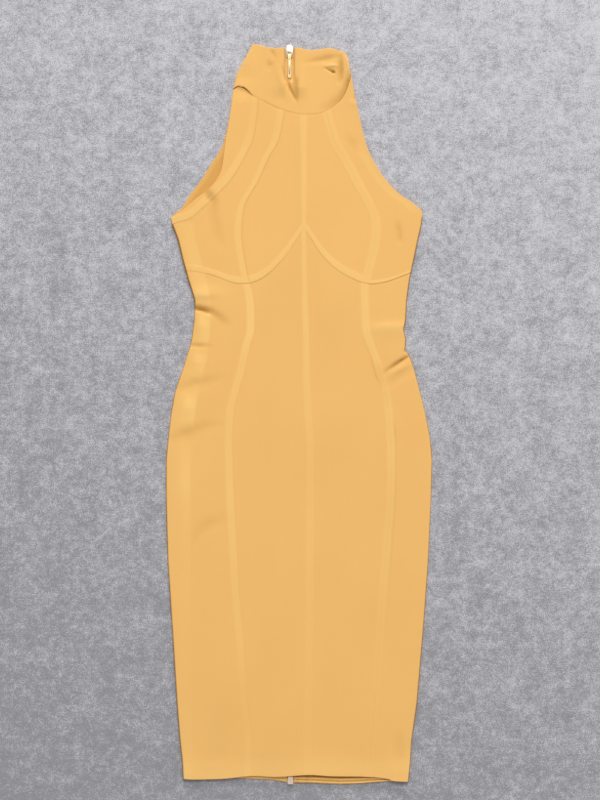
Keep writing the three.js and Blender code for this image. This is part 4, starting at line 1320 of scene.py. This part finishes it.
def addBack():
    hem, seam = through(spots(hemBack)), through(spots(backNeckSeam))
    armLeft = through(spots(armholeBackLeft))
    slitLeft, slitRight = zip_["x"] - back["slit"], zip_["x"] + back["slit"]
    underarm = 0.75
    sides = {
        "left": joined(
            insideFold(sideStretch(sideLeft, hem(0.0)[1], armLeft(0.0)[1]), -1),
            stretch(armLeft, 0, shareAt(armLeft, seam(0.0)[1], 1)), underarm,
        ),
        "right": joined(
            insideFold(sideStretch(sideRight, hem(1.0)[1], armRight(0.0)[1]), 1),
            stretch(armRight, 0, shareAt(armRight, seam(1.0)[1], 1)), underarm,
        ),
    }
    kinds = {"left": "free", "right": "free", "foot": "free", "head": "seam"}
    rowShares = np.concatenate([np.linspace(0, 0.02, 28), np.linspace(0.02, 1, 176)[1:]])
    hemLeft, hemRight = shareAt(hem, zip_["x"] - back["slitFootLeft"]), shareAt(hem, slitRight)
    halves = {
        "backLeft": (sides["left"], 0, hemLeft, 0, shareAt(seam, slitLeft)),
        "backRight": (sides["right"], hemRight, 1, shareAt(seam, slitRight), 1),
    }
    for name, (side, hemStart, hemEnd, seamStart, seamEnd) in halves.items():
        isLeft = name == "backLeft"
        slitEdge = straight(hem(hemEnd if isLeft else hemStart), seam(seamEnd if isLeft else seamStart))
        edges = {
            "left": side if isLeft else slitEdge,
            "right": slitEdge if isLeft else side,
            "foot": stretch(hem, hemStart, hemEnd),
            "head": stretch(seam, seamStart, seamEnd),
        }
        net = panelNet(edges, kinds, backHeight, cell=back["cell"], rowShares=rowShares)
        flatten(net)
        sew(name, net, backPaintedShading, backReverse)
    addBackCollar(seam, slitLeft, slitRight)


def flatten(net):  # the underside lies flat on the surface, and rounds up to the edges
    net["inner"][..., 2] = net["pinch"] * cloth["wall"]


def addBackCollar(seam, slitLeft, slitRight):
    top = through(spots(collarTop))
    kinds = {"left": "free", "right": "free", "foot": "seam", "head": "free"}

    def sideFrom(start, rows):
        return through(np.vstack([start, rows]))

    halves = {
        "collarBackLeft": {
            "left": sideFrom(seam(0.0), spots(collarLeft)[1:]),
            "right": straight(seam(shareAt(seam, slitLeft)), top(shareAt(top, slitLeft))),
            "foot": stretch(seam, 0, shareAt(seam, slitLeft)),
            "head": stretch(top, 0, shareAt(top, slitLeft)),
        },
        "collarBackRight": {
            "left": straight(seam(shareAt(seam, slitRight)), top(shareAt(top, slitRight))),
            "right": sideFrom(seam(1.0), spots(collarRight)),
            "foot": stretch(seam, shareAt(seam, slitRight), 1),
            "head": stretch(top, shareAt(top, slitRight), 1),
        },
    }
    for name, edges in halves.items():
        net = panelNet(edges, kinds, evenly(cloth["wall"]), cell=back["collarCell"])
        flatten(net)
        sew(name, net, reverse=evenly(1))


addCollar()
addBust()
addArmholeBand()
addSkirt()
addBack()
say("cloth sewn")

# Zip: woven tapes, two rows of teeth, the slider, its pull and the metal end

zipParts = {
    "foot": 13.2,
    "head": 1072,
    "tapeNear": 3.2,
    "tapeFar": 14,
    "tapeThick": 1,
    "tapeCell": 4,
    "toothPitch": 2.5,
    "toothLong": 3.3,
    "toothWide": 1.25,
    "toothHigh": 1.9,
    "toothMiddle": 2.4,  # height of the chain's middle
    "toothReach": 2.9,  # from the zip's middle
    "toothBevel": 0.28,
    "toothHead": 1070,
}


def at(x, up, z):
    return (x * mm, (up - middleUp) * mm, z * mm)


def addTapes():
    for name, sign in (("zipTapeLeft", -1), ("zipTapeRight", 1)):
        ends = sorted(zip_["x"] + sign * zipParts[reach] for reach in ("tapeNear", "tapeFar"))
        foot, head = zipParts["foot"], zipParts["head"]
        corners = {(x, up): np.array([x, up], float) for x in ends for up in (foot, head)}
        edges = {
            "left": straight(corners[ends[0], foot], corners[ends[0], head]),
            "right": straight(corners[ends[1], foot], corners[ends[1], head]),
            "foot": straight(corners[ends[0], foot], corners[ends[1], foot]),
            "head": straight(corners[ends[0], head], corners[ends[1], head]),
        }
        base, thick = zip_["tapeBase"], zipParts["tapeThick"]
        kinds = dict.fromkeys(("left", "right", "foot", "head"), "free")
        net = panelNet(edges, kinds, evenly(base + thick), cell=zipParts["tapeCell"])
        middle = base + thick / 2
        for layer in ("outer", "inner"):
            depth = net[layer][..., 2] - (base + thick - cloth["wall"] / 2)
            net[layer][..., 2] = middle + depth * thick / cloth["wall"]
        sew(name, net, finish="tape")


def addTeeth():
    teeth = bmesh.new()
    pitch, long = zipParts["toothPitch"], zipParts["toothLong"]
    count = int((zipParts["toothHead"] - zipParts["foot"]) / pitch)
    size = Matrix.Diagonal((long * mm, zipParts["toothWide"] * mm, zipParts["toothHigh"] * mm, 1))
    for row in range(count):
        for sign in (-1, 1):
            up = zipParts["foot"] + pitch * (row + (0.5 if sign < 0 else 1))
            aside = sign * (zipParts["toothReach"] - long / 2)
            middle = at(zip_["x"] + aside, up, zipParts["toothMiddle"])
            bmesh.ops.create_cube(teeth, size=1, matrix=Matrix.Translation(middle) @ size)
    bmesh.ops.bevel(
        teeth, geom=teeth.edges[:], offset=zipParts["toothBevel"] * mm, offset_type="OFFSET",
        affect="EDGES", segments=1, profile=0.5, material=-1,
    )
    show("zipTeeth", builtMesh("zipTeeth", teeth), finishes["metal"], node="zip_chain")


slider = {
    "plate": 1.1,
    "gap": 2.6,
    "halves": table(
        "half up",
        (2.9, 1063), (3.6, 1063.6), (4.4, 1066), (5.3, 1069.5), (5.8, 1073), (5.6, 1076.2),
        (4.5, 1079), (2.8, 1080.5),
    ),
    "bevel": 0.35,
    "post": (-1.4, 1.4, 1073.5, 1079),  # near and far side, foot and head
    "rail": (3.2, 4.5, 1063.4, 1070),
    "railTop": 1.7,
    "railUnder": 3.4,
    "neck": (-1, 1, 1068.7, 1073.3),
    "eyeUp": 1071,
    "eyeZ": 6.4,
    "eyeRadius": 2.3,
    "eyeBore": 1.3,
    "eyeHalf": 1,
}


def outlineSlab(build, outline, base, thick):  # a flat outline raised to a plate
    corners = [build.verts.new(at(x, up, base)) for x, up in outline]
    face = build.faces.new(corners)
    raised = bmesh.ops.extrude_face_region(build, geom=[face])["geom"]
    lifted = [part for part in raised if isinstance(part, bmesh.types.BMVert)]
    bmesh.ops.translate(build, verts=lifted, vec=(0, 0, thick * mm))
    return corners + lifted


def roundEdges(build, verts, offset, segments=2):
    edges = [edge for edge in build.edges if all(vert in verts for vert in edge.verts)]
    sharp = [edge for edge in edges if edge.calc_face_angle(0) > math.radians(40)]
    bmesh.ops.bevel(
        build, geom=sharp, offset=offset * mm, offset_type="OFFSET",
        affect="EDGES", segments=segments, profile=0.5, material=-1, clamp_overlap=True,
    )


def mirrored(halves, x):
    right = [(x + half, up) for half, up in zip(halves["half"], halves["up"])]
    return right + [(2 * x - px, up) for px, up in reversed(right)]


def addSlider():
    body = bmesh.new()
    x, upper = zip_["x"], slider["plate"] + slider["gap"]
    plateOutline = mirrored(slider["halves"], x)
    for base in (0, upper):
        plate = bmesh.new()
        verts = outlineSlab(plate, plateOutline, base, slider["plate"])
        bmesh.ops.recalc_face_normals(plate, faces=plate.faces[:])
        roundEdges(plate, set(verts), slider["bevel"], 3)
        append(body, plate)

    def block(name, heights, bevel=0.1, sign=1):
        near, far, foot, head = slider[name]
        addBlock(body, sorted((x + sign * near, x + sign * far)), (foot, head), heights, bevel)

    lower, higher = slider["plate"] / 2, upper + 0.5
    block("post", (lower, higher))
    for sign in (-1, 1):
        block("rail", (lower, slider["railTop"]), sign=sign)
        block("rail", (slider["railUnder"], higher), sign=sign)
    block("neck", (upper + 0.6, slider["eyeZ"] - 1.2), bevel=0.2)
    addEye(body)
    show("zipSlider", builtMesh("zipSlider", body, sharpFrom=35), finishes["metal"])


def append(build, other):
    mesh = builtMesh("part", other)
    build.from_mesh(mesh)
    bpy.data.meshes.remove(mesh)


def addBlock(build, across, along, heights, bevel):
    block = bmesh.new()
    middle = at(sum(across) / 2, sum(along) / 2, sum(heights) / 2)
    size = Matrix.Diagonal((*((end - start) * mm for start, end in (across, along, heights)), 1))
    bmesh.ops.create_cube(block, size=1, matrix=Matrix.Translation(middle) @ size)
    bmesh.ops.bevel(
        block, geom=block.edges[:], offset=bevel * mm, offset_type="OFFSET",
        affect="EDGES", segments=2, profile=0.5, material=-1,
    )
    append(build, block)


def addEye(build):  # a ring about the hinge
    ring = bmesh.new()
    x, half = zip_["x"], slider["eyeHalf"]
    inside, outside = slider["eyeZ"] + slider["eyeBore"], slider["eyeZ"] + slider["eyeRadius"]
    section = [(x - half, inside), (x + half, inside), (x + half, outside), (x - half, outside)]
    corners = [ring.verts.new(at(px, slider["eyeUp"], z)) for px, z in section]
    edges = [ring.edges.new((corners[n], corners[(n + 1) % 4])) for n in range(4)]
    middle = at(x, slider["eyeUp"], slider["eyeZ"])
    bmesh.ops.spin(
        ring, geom=corners + edges, cent=middle, axis=(1, 0, 0), dvec=(0, 0, 0),
        angle=2 * math.pi, steps=28, use_merge=True, use_duplicate=False,
    )
    bmesh.ops.remove_doubles(ring, verts=ring.verts[:], dist=0.01 * mm)
    bmesh.ops.recalc_face_normals(ring, faces=ring.faces[:])
    roundEdges(ring, set(ring.verts), 0.25, 2)
    append(build, ring)


pull = {
    "thick": 1.2,
    "half": 2.9,
    "length": 39,
    "columns": (-2.9, -1.6, -0.8, 0.8, 1.6, 2.9),
    "rows": (-0.75, 0.75, 3.7, 8, 13, 20, 27, 34, 36, 38, 39),  # down from the hinge
    "eye": (0.75, 3.7, 1.6),
    "slot": (13, 34, 0.8),
    "web": 1,  # thickness of the recessed plate that closes the slot
    "webOver": 0.1,  # how far it reaches into the tab
    "bevel": 0.3,
    "leastEnd": 0.35,  # share of the width left at the round end's tip
}


def addPull():
    build = bmesh.new()
    columns, rows = pull["columns"], pull["rows"]
    bmesh.ops.create_grid(build, x_segments=len(columns) - 1, y_segments=len(rows) - 1, size=0.5)
    for vert in build.verts:
        i = round((vert.co.x + 0.5) * (len(columns) - 1))
        k = round((0.5 - vert.co.y) * (len(rows) - 1))
        across, down = columns[i], rows[k]
        roundFrom = pull["length"] - pull["half"]
        if down > roundFrom:  # round end
            share = math.sqrt(max(0, 1 - ((down - roundFrom) / pull["half"]) ** 2))
            across *= max(share, pull["leastEnd"])
        vert.co = at(zip_["x"] + across, slider["eyeUp"] - down, slider["eyeZ"] - pull["thick"] / 2)
    holes = []
    for face in build.faces:
        middle = face.calc_center_median() / mm
        across, down = abs(middle.x - zip_["x"]), slider["eyeUp"] - middle.y - middleUp
        for start, end, half in (pull["eye"], pull["slot"]):
            if start < down < end and across < half:
                holes.append(face)
    bmesh.ops.delete(build, geom=holes, context="FACES")
    bmesh.ops.recalc_face_normals(build, faces=build.faces[:])
    bmesh.ops.solidify(build, geom=build.faces[:], thickness=pull["thick"] * mm)
    lowest = min(vert.co.z for vert in build.verts)
    lift = (slider["eyeZ"] - pull["thick"] / 2) * mm - lowest
    bmesh.ops.translate(build, verts=build.verts[:], vec=(0, 0, lift))
    roundEdges(build, set(build.verts), pull["bevel"], 3)
    start, end, half = pull["slot"]
    over = pull["webOver"]
    across = (zip_["x"] - half - over, zip_["x"] + half + over)
    along = (slider["eyeUp"] - end - over, slider["eyeUp"] - start + over)
    heights = (slider["eyeZ"] - pull["web"] / 2, slider["eyeZ"] + pull["web"] / 2)
    addBlock(build, across, along, heights, 0.05)
    show("zipPull", builtMesh("zipPull", build, sharpFrom=35), finishes["warm"], body="pull")


endPiece = {
    "outline": table(
        "x up",
        (-16.1, 12.7), (-16.6, 9), (-16.8, 5.4), (-16.9, 3.6), (-16.5, 1.8), (-15.4, 0.9),
        (-10, 0.7), (-8.4, 1.5), (-8, 3.2), (-8.3, 12.3), (-9, 12.7),
    ),
    "thick": 4.4,
    "bevel": 1.5,
}


def addZipEnd():
    build = bmesh.new()
    verts = outlineSlab(build, spots(endPiece["outline"]), 0, endPiece["thick"])
    bmesh.ops.recalc_face_normals(build, faces=build.faces[:])
    roundEdges(build, set(verts), endPiece["bevel"], 5)
    show("zipEnd", builtMesh("zipEnd", build, sharpFrom=180), finishes["rose"])


addTapes()
addTeeth()
addSlider()
addPull()
addZipEnd()
say("zip closed")

# Floor and light

room = {
    "felt": paint(211, 210, 215),
    "feltShade": paint(146, 145, 149),
    "paintedFalloff": (-0.22, -0.44, 0),  # which way painted shade darkens the felt, standing in for the light's fall-off, and how fast
    "floorSize": 8,
    "sky": 0.46,
    "panels": table(
        "x y z size power",
        (0.8, 5.2, 6.6, 3.2, 300),  # the soft key, from beyond the collar
        (1, 12, 4.2, 2.2, 780),  # a low one that shades the creases and the hem
        (0, 1.35, 4, 0.8, 5),  # a small one that the metal mirrors
    ),
}


def addFloor():
    felt = Finish("felt")
    place = felt.node("ShaderNodeTexCoord", output="Object")
    fibres = felt.noise(place, 230, 4, 0.7)
    share = fibres * 1.6 + felt.noise(place, 700, 2) * 2.6
    share = share + felt.noise(place, 85, 2) * 1.1 + felt.noise(place, 24, 2) * 0.7
    # painted shade: the felt darkens towards the foot and the left
    settings, sockets = {"operation": "DOT_PRODUCT"}, {0: place, 1: room["paintedFalloff"]}
    away = felt.node("ShaderNodeVectorMath", settings, sockets, output="Value")
    share = share + away.maths("MAXIMUM", -0.35).maths("MINIMUM", 0.35) - 2.37
    material = felt.surface({
        "Base Color": felt.mix(share, room["felt"], room["feltShade"]),
        "Roughness": 0.95,
        "Specular IOR Level": 0.1,
        "Normal": felt.bump(fibres, 0.35, 0.001),
    })
    plane = bmesh.new()
    bmesh.ops.create_grid(plane, x_segments=1, y_segments=1, size=room["floorSize"] / 2)
    mesh = builtMesh("floor", plane)
    mesh.materials.append(material)
    floor = bpy.data.objects.new("floor", mesh)
    bpy.context.scene.collection.objects.link(floor)


def addLight():
    world = bpy.data.worlds.new("room")
    world.use_nodes = True
    world.node_tree.nodes["Background"].inputs["Strength"].default_value = room["sky"]
    world.node_tree.nodes["Background"].inputs["Color"].default_value = (1, 1, 1, 1)
    bpy.context.scene.world = world
    for x, y, z, size, power in zip(*room["panels"].values()):
        data = bpy.data.lights.new("panel", "AREA")
        data.size = size
        data.energy = power
        lamp = bpy.data.objects.new("panel", data)
        lamp.location = (x, y, z)
        lamp.rotation_euler = Vector((x, y, z)).to_track_quat("Z", "Y").to_euler()
        bpy.context.scene.collection.objects.link(lamp)


addFloor()
addLight()
bpy.context.scene.view_settings.view_transform = "Standard"
say("room lit")
